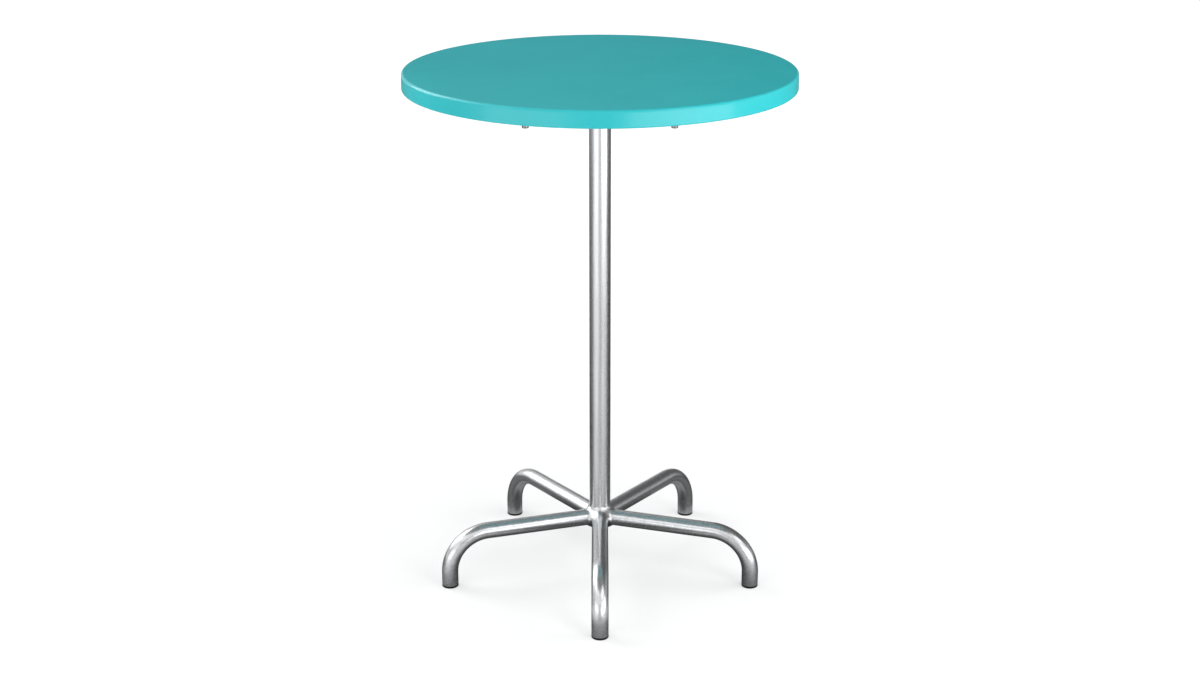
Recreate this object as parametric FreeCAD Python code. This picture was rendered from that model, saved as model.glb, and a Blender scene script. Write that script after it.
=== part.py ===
import FreeCAD, Part
import math
import os
from FreeCAD import Vector

# Folding standing table: a round moulded top that tilts upright on a welded five-leg tube base.
# Millimetres, +Z up. The origin is on the floor under the column, and the front is -Y.

# Table top
TABLE_HEIGHT = 1100.0
TOP_DIAMETER = 800.0
TOP_PLATE = 5.0
TOP_EDGE_ROUND = 5.0
RIM_DEPTH = 34.0
RIM_WALL = 6.0
RIM_DRAFT = 0.9
RIM_LIP_ROUND = 4.0
RIM_LIP_INNER_ROUND = 1.5
RIM_ROOT_FILLET = 8.0

# Stiffening ribs and screw bosses under the top
RIB_RADIAL_COUNT = 12
RIB_INNER_RING = 120.0
RIB_OUTER_RING_RIM_GAP = 128.0
RIB_DEPTH = 6.0
RIB_ROOT_WIDTH = 5.0
RIB_TIP_WIDTH = 3.0
BOSS_STANDOFF = 3.0
BOSS_WALL = 8.0
BOSS_DRAFT = 2.0
INSERT_WALL = 2.0
INSERT_GROOVE_DEPTH = 0.8
INSERT_GROOVE_WIDTH = 3.0

# Rails under the top, and the screws that hold them
RAIL_SPACING = 280.0
RAIL_WIDTH = 20.0
RAIL_DEPTH = 30.0
RAIL_WALL = 2.0
RAIL_CORNER_ROUND = 3.0
RAIL_INNER_ROUND = 1.0
RAIL_RIM_GAP = 45.4
CAP_FLANGE = 3.0
CAP_PLUG_DEPTH = 5.0
CAP_EDGE_ROUND = 1.0
SCREW_SETBACK = 8.0
SCREW_DIAMETER = 8.0
SCREW_HEAD_DIAMETER = 13.0
SCREW_HEAD_HEIGHT = 8.0
SCREW_HEAD_CHAMFER = 0.8
SCREW_SOCKET_FLATS = 6.0
SCREW_SOCKET_DEPTH = 4.0
SCREW_TIP_GAP = 0.6
WASHER_DIAMETER = 16.0
WASHER_THICKNESS = 1.6

# Folded channel between the rails, and the slotted quadrant plates welded under it
CHANNEL_OVERHANG = 18.7
CHANNEL_DEPTH = 24.0
CHANNEL_WALL = 4.0
CHANNEL_BEND = 3.0
QUADRANT_PLATE = 5.0
QUADRANT_HINGE_LOBE = 16.0
TILT_RANGE = 90.0
CLAMP_ANGLE = 45.0
CLAMP_LOBE = 13.0
HEAD_CLEARANCE = 5.0
FOLD_CLEARANCE = 19.5
FRAME_BEAD = 3.5

# Hinge head on the column
CHEEK_PLATE = 5.0
CHEEK_MARGIN = 1.5
CHEEK_HEIGHT = 30.0
CHEEK_FOOT_INSET = 3.5
CHEEK_HINGE_LOBE = 15.0
BASE_PLATE = 6.0
BASE_PLATE_MARGIN = 6.0
BASE_PLATE_ROUND = 4.0
FRICTION_PAD = 1.0
HEAD_BEAD = 4.0

# Hinge bolt, clamp bolt and what sits on them
HINGE_BOLT_DIAMETER = 12.0
HINGE_HEAD_FLATS = 18.0
HINGE_HEAD_HEIGHT = 7.5
HINGE_NUT_HEIGHT = 10.0
HINGE_BOLT_END = 2.0
HINGE_WASHER_DIAMETER = 24.0
HINGE_SPACER_WALL = 3.5
CLAMP_BOLT_DIAMETER = 10.0
CLAMP_HEAD_FLATS = 16.0
CLAMP_HEAD_HEIGHT = 6.4
CLAMP_WASHER_DIAMETER = 20.0
CLAMP_SPACER_WALL = 3.0
PIVOT_WASHER_THICKNESS = 2.5
HEX_CHAMFER = 1.2
BOLT_END_CHAMFER = 1.0

# Clamp lever
LEVER_HUB_DIAMETER = 24.0
LEVER_HUB_CROWN = 2.0
LEVER_HUB_ROUND = 3.0
LEVER_HUB_ROOF = 5.0
LEVER_ROD_DIAMETER = 8.0
LEVER_ROD_BARE = 21.0
LEVER_REST_ANGLE = 15.0
LEVER_SWING_CLEARANCE = 2.0
LEVER_BOLT_TIP_GAP = 1.0
GRIP_LENGTH = 50.0
GRIP_NECK_WALL = 2.0
GRIP_SWELL = 2.0
GRIP_END_WALL = 5.0
GRIP_END_ROUND = 5.0
GRIP_NECK_ROUND = 1.5

# Column, legs and foot glides
COLUMN_DIAMETER = 45.0
COLUMN_WALL = 2.0
LEG_NAMES = ("front", "front_right", "rear_right", "rear_left", "front_left")
LEG_FIRST_ANGLE = -90.0
LEG_DIAMETER = 35.0
LEG_WALL = 2.0
LEG_BEND_RADIUS = 85.0
FOOT_CIRCLE_RADIUS = 338.0
FOOT_STRAIGHT = 29.5
HUB_WELD_ROUND = 10.0
GLIDE_FLANGE = 3.0
GLIDE_CHAMFER = 0.8
GLIDE_PLUG_LENGTH = 16.0
GLIDE_RIB_COUNT = 3
GLIDE_RIB_DEPTH = 1.2
GLIDE_WALL = 3.0

# Clearances, each on the radius or on one side
FIT_CLEARANCE = 0.05
RUNNING_CLEARANCE = 0.05
BOLT_CLEARANCE = 0.2
SLOT_CLEARANCE = 0.3
SCREW_HOLE_CLEARANCE = 0.5
PLUG_CLEARANCE = 0.15
WELD_GAP = 0.05

# Heights worked out from the table surface down
top_radius = TOP_DIAMETER / 2
plate_under_z = TABLE_HEIGHT - TOP_PLATE
rim_bottom_z = TABLE_HEIGHT - RIM_DEPTH
rim_inner_radius = top_radius - RIM_DRAFT - RIM_WALL
boss_height = RIB_DEPTH + BOSS_STANDOFF
rail_top_z = plate_under_z - boss_height
rail_bottom_z = rail_top_z - RAIL_DEPTH
web_under_z = rail_top_z - CHANNEL_WALL
hinge_z = rim_bottom_z - COLUMN_DIAMETER / 2 - FOLD_CLEARANCE
slot_radius = web_under_z - hinge_z - HEAD_CLEARANCE - CLAMP_LOBE
clamp_y = slot_radius * math.cos(math.radians(CLAMP_ANGLE))
clamp_z = hinge_z + slot_radius * math.sin(math.radians(CLAMP_ANGLE))
base_plate_top_z = hinge_z - CHEEK_HEIGHT
column_top_z = base_plate_top_z - BASE_PLATE

# Places along the rails and across the hinge
rail_inner_x = RAIL_SPACING / 2 - RAIL_WIDTH / 2
rail_outer_x = RAIL_SPACING / 2 + RAIL_WIDTH / 2
rail_end_y = math.sqrt(rim_inner_radius ** 2 - rail_outer_x ** 2) - RAIL_RIM_GAP
rail_screw_y = rail_end_y - CAP_FLANGE - CAP_PLUG_DEPTH - SCREW_SETBACK
rail_screw_spots = [(sx * RAIL_SPACING / 2, sy * rail_screw_y) for sx in (-1, 1) for sy in (-1, 1)]
cheek_inner_x = COLUMN_DIAMETER / 2 + CHEEK_MARGIN
cheek_outer_x = cheek_inner_x + CHEEK_PLATE
quadrant_inner_x = cheek_outer_x + FRICTION_PAD
quadrant_outer_x = quadrant_inner_x + QUADRANT_PLATE
washer_outer_x = quadrant_outer_x + PIVOT_WASHER_THICKNESS
base_plate_half_y = COLUMN_DIAMETER / 2 + BASE_PLATE_MARGIN
channel_half_y = clamp_y + CLAMP_LOBE + CHANNEL_OVERHANG
insert_radius = SCREW_DIAMETER / 2 + INSERT_WALL

# Places of the clamp lever: its grip swings clear of the hinge bolt's head
grip_neck_radius = LEVER_ROD_DIAMETER / 2 + GRIP_NECK_WALL
grip_radius = grip_neck_radius + GRIP_SWELL
lever_arm_x = washer_outer_x + HINGE_HEAD_HEIGHT + LEVER_SWING_CLEARANCE + grip_radius
lever_hub_end_x = lever_arm_x + LEVER_ROD_DIAMETER / 2 + LEVER_HUB_CROWN
lever_rod_reach = LEVER_HUB_DIAMETER / 2 + LEVER_ROD_BARE + GRIP_LENGTH - GRIP_END_WALL

# Places in the base
leg_radius = LEG_DIAMETER / 2
column_radius = COLUMN_DIAMETER / 2
leg_axis_z = GLIDE_FLANGE + FOOT_STRAIGHT + LEG_BEND_RADIUS
column_bottom_z = leg_axis_z - leg_radius
leg_step = 360.0 / len(LEG_NAMES)

X_AXIS = Vector(1, 0, 0)
Z_AXIS = Vector(0, 0, 1)


def rounded_wire(corners, place):
    """Closed outline through corners (a, b, radius), each corner rounded by its radius."""
    turns = []
    for i, (a, b, radius) in enumerate(corners):
        here = Vector(a, b, 0)
        before = (Vector(*corners[i - 1][:2], 0) - here).normalize()
        after = (Vector(*corners[(i + 1) % len(corners)][:2], 0) - here).normalize()
        half = before.getAngle(after) / 2
        setback = radius / math.tan(half)
        inward = (before + after).normalize() if radius else before
        middle = here + inward * (radius / math.sin(half) - radius)
        turns.append((here + before * setback, middle, here + after * setback, radius))
    edges = []
    for i, (start, middle, end, radius) in enumerate(turns):
        left = turns[i - 1][2]
        if left.distanceToPoint(start) > 1e-6:
            edges.append(Part.LineSegment(place(left.x, left.y), place(start.x, start.y)).toShape())
        if radius:
            arc = Part.Arc(place(start.x, start.y), place(middle.x, middle.y), place(end.x, end.y))
            edges.append(arc.toShape())
    return Part.Wire(edges)


def belt_wire(discs, place):
    """Outline of a belt drawn round discs (a, b, radius), listed counter-clockwise."""
    spans = []
    for i, (a, b, radius) in enumerate(discs):
        next_a, next_b, next_radius = discs[(i + 1) % len(discs)]
        along = Vector(next_a - a, next_b - b, 0)
        lean = (radius - next_radius) / along.Length
        along.normalize()
        normal = along * lean + Vector(along.y, -along.x, 0) * math.sqrt(1 - lean ** 2)
        spans.append((Vector(a, b, 0) + normal * radius, Vector(next_a, next_b, 0) + normal * next_radius))
    edges = []
    for i, (a, b, radius) in enumerate(discs):
        arrive = spans[i - 1][1]
        leave, ahead = spans[i]
        if radius:
            first = math.atan2(arrive.y - b, arrive.x - a)
            sweep = (math.atan2(leave.y - b, leave.x - a) - first) % (2 * math.pi)
            angle = first + sweep / 2
            middle = place(a + radius * math.cos(angle), b + radius * math.sin(angle))
            edges.append(Part.Arc(place(arrive.x, arrive.y), middle, place(leave.x, leave.y)).toShape())
        edges.append(Part.LineSegment(place(leave.x, leave.y), place(ahead.x, ahead.y)).toShape())
    return Part.Wire(edges)


def plane_yz(x):
    """Map outline points (y, z) into the plane across the hinge at x."""
    return lambda a, b: Vector(x, a, b)


def plane_xz(y):
    """Map outline points (x, z) into the plane across the rails at y."""
    return lambda a, b: Vector(a, y, b)


def prism(wire, reach):
    """Solid of an outline pushed along a vector."""
    return Part.Face(wire).extrude(reach)


def turned(corners, base, axis):
    """Solid of revolution from corners (along the axis, radius, rounding)."""
    side = Z_AXIS if abs(axis.z) < 0.5 else X_AXIS
    wire = rounded_wire(corners, lambda a, b: base + axis * a + side * b)
    return Part.Face(wire).revolve(base, axis, 360)


def rod(diameter, base, reach):
    """Plain round bar from a base point along a vector."""
    return Part.makeCylinder(diameter / 2, reach.Length, base, reach)


def ring(outer_diameter, bore_diameter, base, reach):
    """Round bar with a bore right through."""
    return rod(outer_diameter, base, reach).cut(rod(bore_diameter, base, reach))


def hex_prism(flats, base, reach):
    """Hexagonal bar with its flats apart by the given size."""
    side = Z_AXIS if abs(reach.z) < 0.5 else X_AXIS
    axis = Vector(reach).normalize()
    across = axis.cross(side)
    corner = flats / math.sqrt(3)
    turns = [math.radians(60 * i) for i in range(6)]
    points = [base + side * corner * math.cos(t) + across * corner * math.sin(t) for t in turns]
    return prism(Part.makePolygon(points + points[:1]), reach)


def hex_head(flats, base, reach):
    """Hexagon with its outer corners chamfered, as on a bolt head or a nut."""
    axis = Vector(reach).normalize()
    corner = flats / math.sqrt(3)
    tall = reach.Length
    limit = [(0, 0, 0), (0, corner, 0), (tall - HEX_CHAMFER, corner, 0), (tall, flats / 2, 0), (tall, 0, 0)]
    return hex_prism(flats, base, reach).common(turned(limit, base, axis))


def chamfered_rod(diameter, base, reach):
    """Round bar with a chamfer at its far end."""
    radius = diameter / 2
    tall = reach.Length
    tip = [(tall - BOLT_END_CHAMFER, radius, 0), (tall, radius - BOLT_END_CHAMFER, 0), (tall, 0, 0)]
    return turned([(0, 0, 0), (0, radius, 0)] + tip, base, Vector(reach).normalize())


def table_top():
    """Moulded shell with a drafted rim, ribs and screw bosses underneath."""
    lip_round = min(RIM_LIP_ROUND, RIM_WALL - RIM_LIP_INNER_ROUND)
    edge_corner = top_radius + RIM_DRAFT * TOP_EDGE_ROUND / RIM_DEPTH
    section = [
        (0, TABLE_HEIGHT, 0),
        (edge_corner, TABLE_HEIGHT, TOP_EDGE_ROUND),
        (top_radius - RIM_DRAFT, rim_bottom_z, lip_round),
        (rim_inner_radius, rim_bottom_z, RIM_LIP_INNER_ROUND),
        (rim_inner_radius, plate_under_z, RIM_ROOT_FILLET),
        (0, plate_under_z, 0),
    ]
    shell = Part.Face(rounded_wire(section, plane_xz(0))).revolve(Vector(0, 0, 0), Z_AXIS, 360)
    shell = shell.multiFuse(top_ribs() + top_bosses()).removeSplitter()
    pocket = 2 * (insert_radius + FIT_CLEARANCE)
    pockets = [rod(pocket, Vector(x, y, rail_top_z), Z_AXIS * boss_height) for x, y in rail_screw_spots]
    return shell.cut(Part.makeCompound(pockets)).Solids[0]


def top_ribs():
    """Ring ribs, and radial ribs from the inner ring to the rim."""
    root = plate_under_z + TOP_PLATE / 2
    tip = plate_under_z - RIB_DEPTH
    ribs = []
    for radius in (RIB_INNER_RING, rim_inner_radius - RIB_OUTER_RING_RIM_GAP):
        section = [(radius - RIB_ROOT_WIDTH / 2, root, 0), (radius - RIB_TIP_WIDTH / 2, tip, 0),
                   (radius + RIB_TIP_WIDTH / 2, tip, 0), (radius + RIB_ROOT_WIDTH / 2, root, 0)]
        ribs.append(Part.Face(rounded_wire(section, plane_xz(0))).revolve(Vector(0, 0, 0), Z_AXIS, 360))
    reach = Vector(rim_inner_radius + RIM_WALL / 2 - RIB_INNER_RING, 0, 0)
    section = [(-RIB_ROOT_WIDTH / 2, root, 0), (-RIB_TIP_WIDTH / 2, tip, 0),
               (RIB_TIP_WIDTH / 2, tip, 0), (RIB_ROOT_WIDTH / 2, root, 0)]
    for i in range(RIB_RADIAL_COUNT):
        rib = prism(rounded_wire(section, plane_yz(RIB_INNER_RING)), reach)
        rib.rotate(Vector(0, 0, 0), Z_AXIS, 360.0 * (i + 0.5) / RIB_RADIAL_COUNT)
        ribs.append(rib)
    return ribs


def top_bosses():
    """Drafted bosses that take the threaded inserts."""
    tall = boss_height + TOP_PLATE / 2
    tip = insert_radius + BOSS_WALL
    return [Part.makeCone(tip, tip + BOSS_DRAFT, tall, Vector(x, y, rail_top_z)) for x, y in rail_screw_spots]


def threaded_inserts():
    """Brass inserts with a locking groove, moulded into the bosses."""
    bore = SCREW_DIAMETER / 2 + FIT_CLEARANCE
    waist = insert_radius - INSERT_GROOVE_DEPTH
    low = (boss_height - INSERT_GROOVE_WIDTH) / 2
    high = low + INSERT_GROOVE_WIDTH
    section = [(0, bore, 0), (0, insert_radius, 0), (low, insert_radius, 0), (low, waist, 0),
               (high, waist, 0), (high, insert_radius, 0), (boss_height, insert_radius, 0),
               (boss_height, bore, 0)]
    return Part.makeCompound([turned(section, Vector(x, y, rail_top_z), Z_AXIS) for x, y in rail_screw_spots])


def rail_outline(side, shrink, rounding, y):
    """Rounded outline of one rail, drawn in by an amount all round."""
    near = side * rail_inner_x + side * shrink
    far = side * rail_outer_x - side * shrink
    low = rail_bottom_z + shrink
    high = rail_top_z - shrink
    corners = [(near, low, rounding), (far, low, rounding), (far, high, rounding), (near, high, rounding)]
    return rounded_wire(corners, plane_xz(y))


def rail(side):
    """Rectangular tube rail with its screw holes."""
    half = rail_end_y - CAP_FLANGE
    reach = Vector(0, 2 * half, 0)
    tube = prism(rail_outline(side, 0, RAIL_CORNER_ROUND, -half), reach)
    tube = tube.cut(prism(rail_outline(side, RAIL_WALL, RAIL_INNER_ROUND, -half), reach))
    hole = SCREW_DIAMETER + 2 * SCREW_HOLE_CLEARANCE
    for end in (-1, 1):
        base = Vector(side * RAIL_SPACING / 2, end * rail_screw_y, rail_bottom_z)
        tube = tube.cut(rod(hole, base, Z_AXIS * RAIL_DEPTH))
    return tube


def rail_end_caps():
    """Push-in caps that close the four rail ends."""
    caps = []
    for side in (-1, 1):
        for end in (-1, 1):
            seat_y = end * (rail_end_y - CAP_FLANGE)
            flange = prism(rail_outline(side, 0, RAIL_CORNER_ROUND, seat_y), Vector(0, end * CAP_FLANGE, 0))
            outer_face = max(flange.Faces, key=lambda face: abs(face.CenterOfMass.y))
            flange = flange.makeFillet(CAP_EDGE_ROUND, outer_face.Edges)
            plug_outline = rail_outline(side, RAIL_WALL + PLUG_CLEARANCE, RAIL_INNER_ROUND, seat_y)
            plug = prism(plug_outline, Vector(0, -end * CAP_PLUG_DEPTH, 0))
            caps.append(flange.fuse(plug).removeSplitter())
    return Part.makeCompound(caps)


def rail_screws():
    """Socket head screws, put in from below."""
    seat_z = rail_bottom_z - WASHER_THICKNESS
    tip_z = plate_under_z - SCREW_TIP_GAP
    radius = SCREW_HEAD_DIAMETER / 2
    head = [(0, 0, 0), (0, radius, 0), (SCREW_HEAD_HEIGHT - SCREW_HEAD_CHAMFER, radius, 0),
            (SCREW_HEAD_HEIGHT, radius - SCREW_HEAD_CHAMFER, 0), (SCREW_HEAD_HEIGHT, 0, 0)]
    screws = []
    for x, y in rail_screw_spots:
        seat = Vector(x, y, seat_z)
        shank = chamfered_rod(SCREW_DIAMETER, seat, Z_AXIS * (tip_z - seat_z))
        socket_base = seat - Z_AXIS * SCREW_HEAD_HEIGHT
        socket = hex_prism(SCREW_SOCKET_FLATS, socket_base, Z_AXIS * SCREW_SOCKET_DEPTH)
        screws.append(turned(head, seat, -Z_AXIS).fuse(shank).cut(socket).removeSplitter())
    return Part.makeCompound(screws)


def rail_washers():
    """Flat washers under the screw heads."""
    bore = SCREW_DIAMETER + 2 * BOLT_CLEARANCE
    seat_z = rail_bottom_z - WASHER_THICKNESS
    washers = [ring(WASHER_DIAMETER, bore, Vector(x, y, seat_z), Z_AXIS * WASHER_THICKNESS)
               for x, y in rail_screw_spots]
    return Part.makeCompound(washers)


def hinge_channel():
    """Folded channel that spans the rails and carries the quadrants."""
    half = channel_half_y
    inner = half - CHANNEL_WALL
    low = rail_top_z - CHANNEL_DEPTH
    bend = CHANNEL_BEND + CHANNEL_WALL
    section = [(-half, low, 0), (-half, rail_top_z, bend), (half, rail_top_z, bend), (half, low, 0),
               (inner, low, 0), (inner, web_under_z, CHANNEL_BEND), (-inner, web_under_z, CHANNEL_BEND),
               (-inner, low, 0)]
    return prism(rounded_wire(section, plane_yz(-rail_inner_x)), Vector(2 * rail_inner_x, 0, 0))


def slot_wire(x):
    """Arc slot about the hinge, one clamp bolt wide, from the clamp angle through the tilt range."""
    half = CLAMP_BOLT_DIAMETER / 2 + SLOT_CLEARANCE
    first = math.radians(CLAMP_ANGLE)
    last = first + math.radians(TILT_RANGE)
    middle = (first + last) / 2

    def spot(radius, angle, centre=(0, hinge_z)):
        return Vector(x, centre[0] + radius * math.cos(angle), centre[1] + radius * math.sin(angle))

    def end_cap(angle, way):
        centre = (slot_radius * math.cos(angle), hinge_z + slot_radius * math.sin(angle))
        return spot(half, angle + way * math.pi / 2, centre)

    outer, inner = slot_radius + half, slot_radius - half
    arcs = [
        (spot(outer, first), spot(outer, middle), spot(outer, last)),
        (spot(outer, last), end_cap(last, 1), spot(inner, last)),
        (spot(inner, last), spot(inner, middle), spot(inner, first)),
        (spot(inner, first), end_cap(first, -1), spot(outer, first)),
    ]
    return Part.Wire([Part.Arc(*points).toShape() for points in arcs])


def quadrant(side):
    """Slotted plate that turns on the hinge bolt and slides past the clamp bolt."""
    x = side * quadrant_inner_x
    reach = Vector(side * QUADRANT_PLATE, 0, 0)
    last = math.radians(CLAMP_ANGLE + TILT_RANGE)
    far_y = slot_radius * math.cos(last)
    far_z = hinge_z + slot_radius * math.sin(last)
    discs = [(0, hinge_z, QUADRANT_HINGE_LOBE), (clamp_y, clamp_z, CLAMP_LOBE),
             (clamp_y + CLAMP_LOBE, web_under_z, 0), (far_y - CLAMP_LOBE, web_under_z, 0),
             (far_y, far_z, CLAMP_LOBE)]
    plate = prism(belt_wire(discs, plane_yz(x)), reach)
    bore = HINGE_BOLT_DIAMETER + 2 * RUNNING_CLEARANCE
    return plate.cut(rod(bore, Vector(x, 0, hinge_z), reach)).cut(prism(slot_wire(x), reach))


def bead(corner, legs, reach):
    """Straight weld bead in an inside corner, between two leg vectors."""
    points = [corner, corner + legs[0], corner + legs[1], corner]
    return prism(Part.makePolygon(points), reach)


def frame_welds():
    """Beads from the channel to the rails and from the quadrants to the channel."""
    bend = CHANNEL_BEND + CHANNEL_WALL
    inner = channel_half_y - bend
    beads = []
    for side in (-1, 1):
        inward = Vector(-side * FRAME_BEAD, 0, 0)
        down = Vector(0, 0, -FRAME_BEAD)
        rail_corner = Vector(side * rail_inner_x, -inner, web_under_z)
        beads.append(bead(rail_corner, (inward, down), Vector(0, 2 * inner, 0)))
        for end in (-1, 1):
            flange = Vector(side * rail_inner_x, end * channel_half_y, rail_top_z - bend)
            outward = Vector(0, end * FRAME_BEAD, 0)
            beads.append(bead(flange, (inward, outward), Vector(0, 0, bend - CHANNEL_DEPTH)))
        plate_corner = Vector(side * quadrant_outer_x, -clamp_y, web_under_z)
        beads.append(bead(plate_corner, (-inward, down), Vector(0, 2 * clamp_y, 0)))
    return Part.makeCompound(beads)


def head_base_plate():
    """Plate welded on top of the column."""
    x, y = cheek_outer_x, base_plate_half_y
    rounding = BASE_PLATE_ROUND
    corners = [(-x, -y, rounding), (x, -y, rounding), (x, y, rounding), (-x, y, rounding)]
    wire = rounded_wire(corners, lambda a, b: Vector(a, b, column_top_z))
    return prism(wire, Z_AXIS * BASE_PLATE)


def head_cheek(side):
    """Upright plate that holds the hinge bolt and the clamp bolt."""
    x = side * cheek_inner_x
    reach = Vector(side * CHEEK_PLATE, 0, 0)
    foot = base_plate_half_y - CHEEK_FOOT_INSET
    discs = [(-foot, base_plate_top_z, 0), (foot, base_plate_top_z, 0), (clamp_y, clamp_z, CLAMP_LOBE),
             (0, hinge_z, CHEEK_HINGE_LOBE)]
    return pivot_holes(prism(belt_wire(discs, plane_yz(x)), reach), x, reach)


def friction_pad(side):
    """Thin fibre pad between a cheek and its quadrant."""
    x = side * cheek_outer_x
    reach = Vector(side * FRICTION_PAD, 0, 0)
    discs = [(0, hinge_z, CHEEK_HINGE_LOBE), (clamp_y, clamp_z, CLAMP_LOBE)]
    return pivot_holes(prism(belt_wire(discs, plane_yz(x)), reach), x, reach)


def pivot_holes(plate, x, reach):
    """Drill a plate for the hinge bolt and the clamp bolt."""
    for diameter, y, z in ((HINGE_BOLT_DIAMETER, 0, hinge_z), (CLAMP_BOLT_DIAMETER, clamp_y, clamp_z)):
        plate = plate.cut(rod(diameter + 2 * BOLT_CLEARANCE, Vector(x, y, z), reach))
    return plate


def hinge_bolt():
    """Bolt that the top turns on, with its head on the lever side."""
    seat = Vector(washer_outer_x, 0, hinge_z)
    reach = 2 * washer_outer_x + HINGE_NUT_HEIGHT + HINGE_BOLT_END
    head = hex_head(HINGE_HEAD_FLATS, seat, X_AXIS * HINGE_HEAD_HEIGHT)
    return head.fuse(chamfered_rod(HINGE_BOLT_DIAMETER, seat, X_AXIS * -reach)).removeSplitter()


def hinge_nut():
    """Nut on the far end of the hinge bolt."""
    seat = Vector(-washer_outer_x, 0, hinge_z)
    reach = X_AXIS * -HINGE_NUT_HEIGHT
    bore = rod(HINGE_BOLT_DIAMETER + 2 * FIT_CLEARANCE, seat, reach)
    return hex_head(HINGE_HEAD_FLATS, seat, reach).cut(bore)


def pivot_washers(outer_diameter, bolt_diameter, y, z):
    """Pair of washers outside the quadrants on one bolt."""
    bore = bolt_diameter + 2 * BOLT_CLEARANCE
    reach = X_AXIS * PIVOT_WASHER_THICKNESS
    washers = [ring(outer_diameter, bore, Vector(side * quadrant_outer_x, y, z), reach * side)
               for side in (-1, 1)]
    return Part.makeCompound(washers)


def pivot_spacer(bolt_diameter, wall, y, z):
    """Tube that keeps the cheeks apart on one bolt."""
    bore = bolt_diameter + 2 * BOLT_CLEARANCE
    return ring(bore + 2 * wall, bore, Vector(-cheek_inner_x, y, z), X_AXIS * 2 * cheek_inner_x)


def clamp_bolt():
    """Bolt through the slots, with its head on the left and its thread in the lever hub."""
    seat = Vector(-washer_outer_x, clamp_y, clamp_z)
    tip_x = lever_hub_end_x - LEVER_HUB_ROOF - LEVER_BOLT_TIP_GAP
    head = hex_head(CLAMP_HEAD_FLATS, seat, X_AXIS * -CLAMP_HEAD_HEIGHT)
    shank = chamfered_rod(CLAMP_BOLT_DIAMETER, seat, X_AXIS * (tip_x + washer_outer_x))
    return head.fuse(shank).removeSplitter()


def head_weld():
    """Fillet round the column top, and beads inside the cheeks."""
    inner = column_radius + WELD_GAP
    section = [(0, inner, 0), (0, column_radius + HEAD_BEAD, 0), (-HEAD_BEAD, inner, 0)]
    beads = [turned(section, Vector(0, 0, column_top_z), Z_AXIS)]
    foot = base_plate_half_y - CHEEK_FOOT_INSET
    for side in (-1, 1):
        corner = Vector(side * cheek_inner_x, -foot, base_plate_top_z)
        legs = (Vector(-side * HEAD_BEAD, 0, 0), Vector(0, 0, HEAD_BEAD))
        beads.append(bead(corner, legs, Vector(0, 2 * foot, 0)))
    return Part.makeCompound(beads)


def at_lever_rest(shape):
    """Turn a piece drawn straight forward to the lever's rest angle."""
    shape.rotate(Vector(0, clamp_y, clamp_z), X_AXIS, LEVER_REST_ANGLE)
    return shape


def clamp_lever():
    """Hub on the clamp bolt with the rod that carries the grip."""
    seat = Vector(washer_outer_x, clamp_y, clamp_z)
    tall = lever_hub_end_x - washer_outer_x
    radius = LEVER_HUB_DIAMETER / 2
    section = [(0, 0, 0), (0, radius, 0), (tall, radius, LEVER_HUB_ROUND), (tall, 0, 0)]
    arm = rod(LEVER_ROD_DIAMETER, Vector(lever_arm_x, clamp_y, clamp_z), Vector(0, -lever_rod_reach, 0))
    bore = rod(CLAMP_BOLT_DIAMETER + 2 * RUNNING_CLEARANCE, seat, X_AXIS * (tall - LEVER_HUB_ROOF))
    return at_lever_rest(turned(section, seat, X_AXIS).fuse(arm).cut(bore).removeSplitter())


def lever_grip():
    """Moulded grip over the end of the rod."""
    base = Vector(lever_arm_x, clamp_y - LEVER_HUB_DIAMETER / 2 - LEVER_ROD_BARE, clamp_z)
    bore = LEVER_ROD_DIAMETER / 2 + FIT_CLEARANCE
    depth = GRIP_LENGTH - GRIP_END_WALL
    section = [(0, bore, 0), (0, grip_neck_radius, GRIP_NECK_ROUND),
               (GRIP_LENGTH, grip_radius, GRIP_END_ROUND), (GRIP_LENGTH, 0, 0), (depth, 0, 0),
               (depth, bore, 0)]
    return at_lever_rest(turned(section, base, Vector(0, -1, 0)))


def column_tube():
    """Straight column from the underside of the legs to the head plate."""
    reach = Z_AXIS * (column_top_z - column_bottom_z)
    return ring(COLUMN_DIAMETER, COLUMN_DIAMETER - 2 * COLUMN_WALL, Vector(0, 0, column_bottom_z), reach)


def leg_sweep(diameter):
    """Round bar along a leg's centre line, drawn towards +X from the column's axis to the glide."""
    bend_start = FOOT_CIRCLE_RADIUS - LEG_BEND_RADIUS
    bend_z = leg_axis_z - LEG_BEND_RADIUS
    slant = LEG_BEND_RADIUS * math.sqrt(0.5)
    start, turn = Vector(0, 0, leg_axis_z), Vector(bend_start, 0, leg_axis_z)
    middle = Vector(bend_start + slant, 0, bend_z + slant)
    drop, end = Vector(FOOT_CIRCLE_RADIUS, 0, bend_z), Vector(FOOT_CIRCLE_RADIUS, 0, GLIDE_FLANGE)
    path = Part.Wire([Part.LineSegment(start, turn).toShape(), Part.Arc(turn, middle, drop).toShape(),
                      Part.LineSegment(drop, end).toShape()])
    profile = Part.Wire([Part.Circle(start, X_AXIS, diameter / 2).toShape()])
    return path.makePipeShell([profile], True, True)


def leg_wedge():
    """Space of one leg between the mitre planes to its neighbours."""
    reach = FOOT_CIRCLE_RADIUS + LEG_DIAMETER
    side = reach * math.tan(math.radians(leg_step / 2))
    points = [Vector(0, 0, 0), Vector(reach, -side, 0), Vector(reach, side, 0), Vector(0, 0, 0)]
    return prism(Part.makePolygon(points), Z_AXIS * (leg_axis_z + LEG_DIAMETER + HUB_WELD_ROUND))


def at_leg(shape, index):
    """Copy of a piece drawn towards +X, turned to its leg."""
    turned_copy = shape.copy()
    turned_copy.rotate(Vector(0, 0, 0), Z_AXIS, LEG_FIRST_ANGLE + leg_step * index)
    return turned_copy


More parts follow.
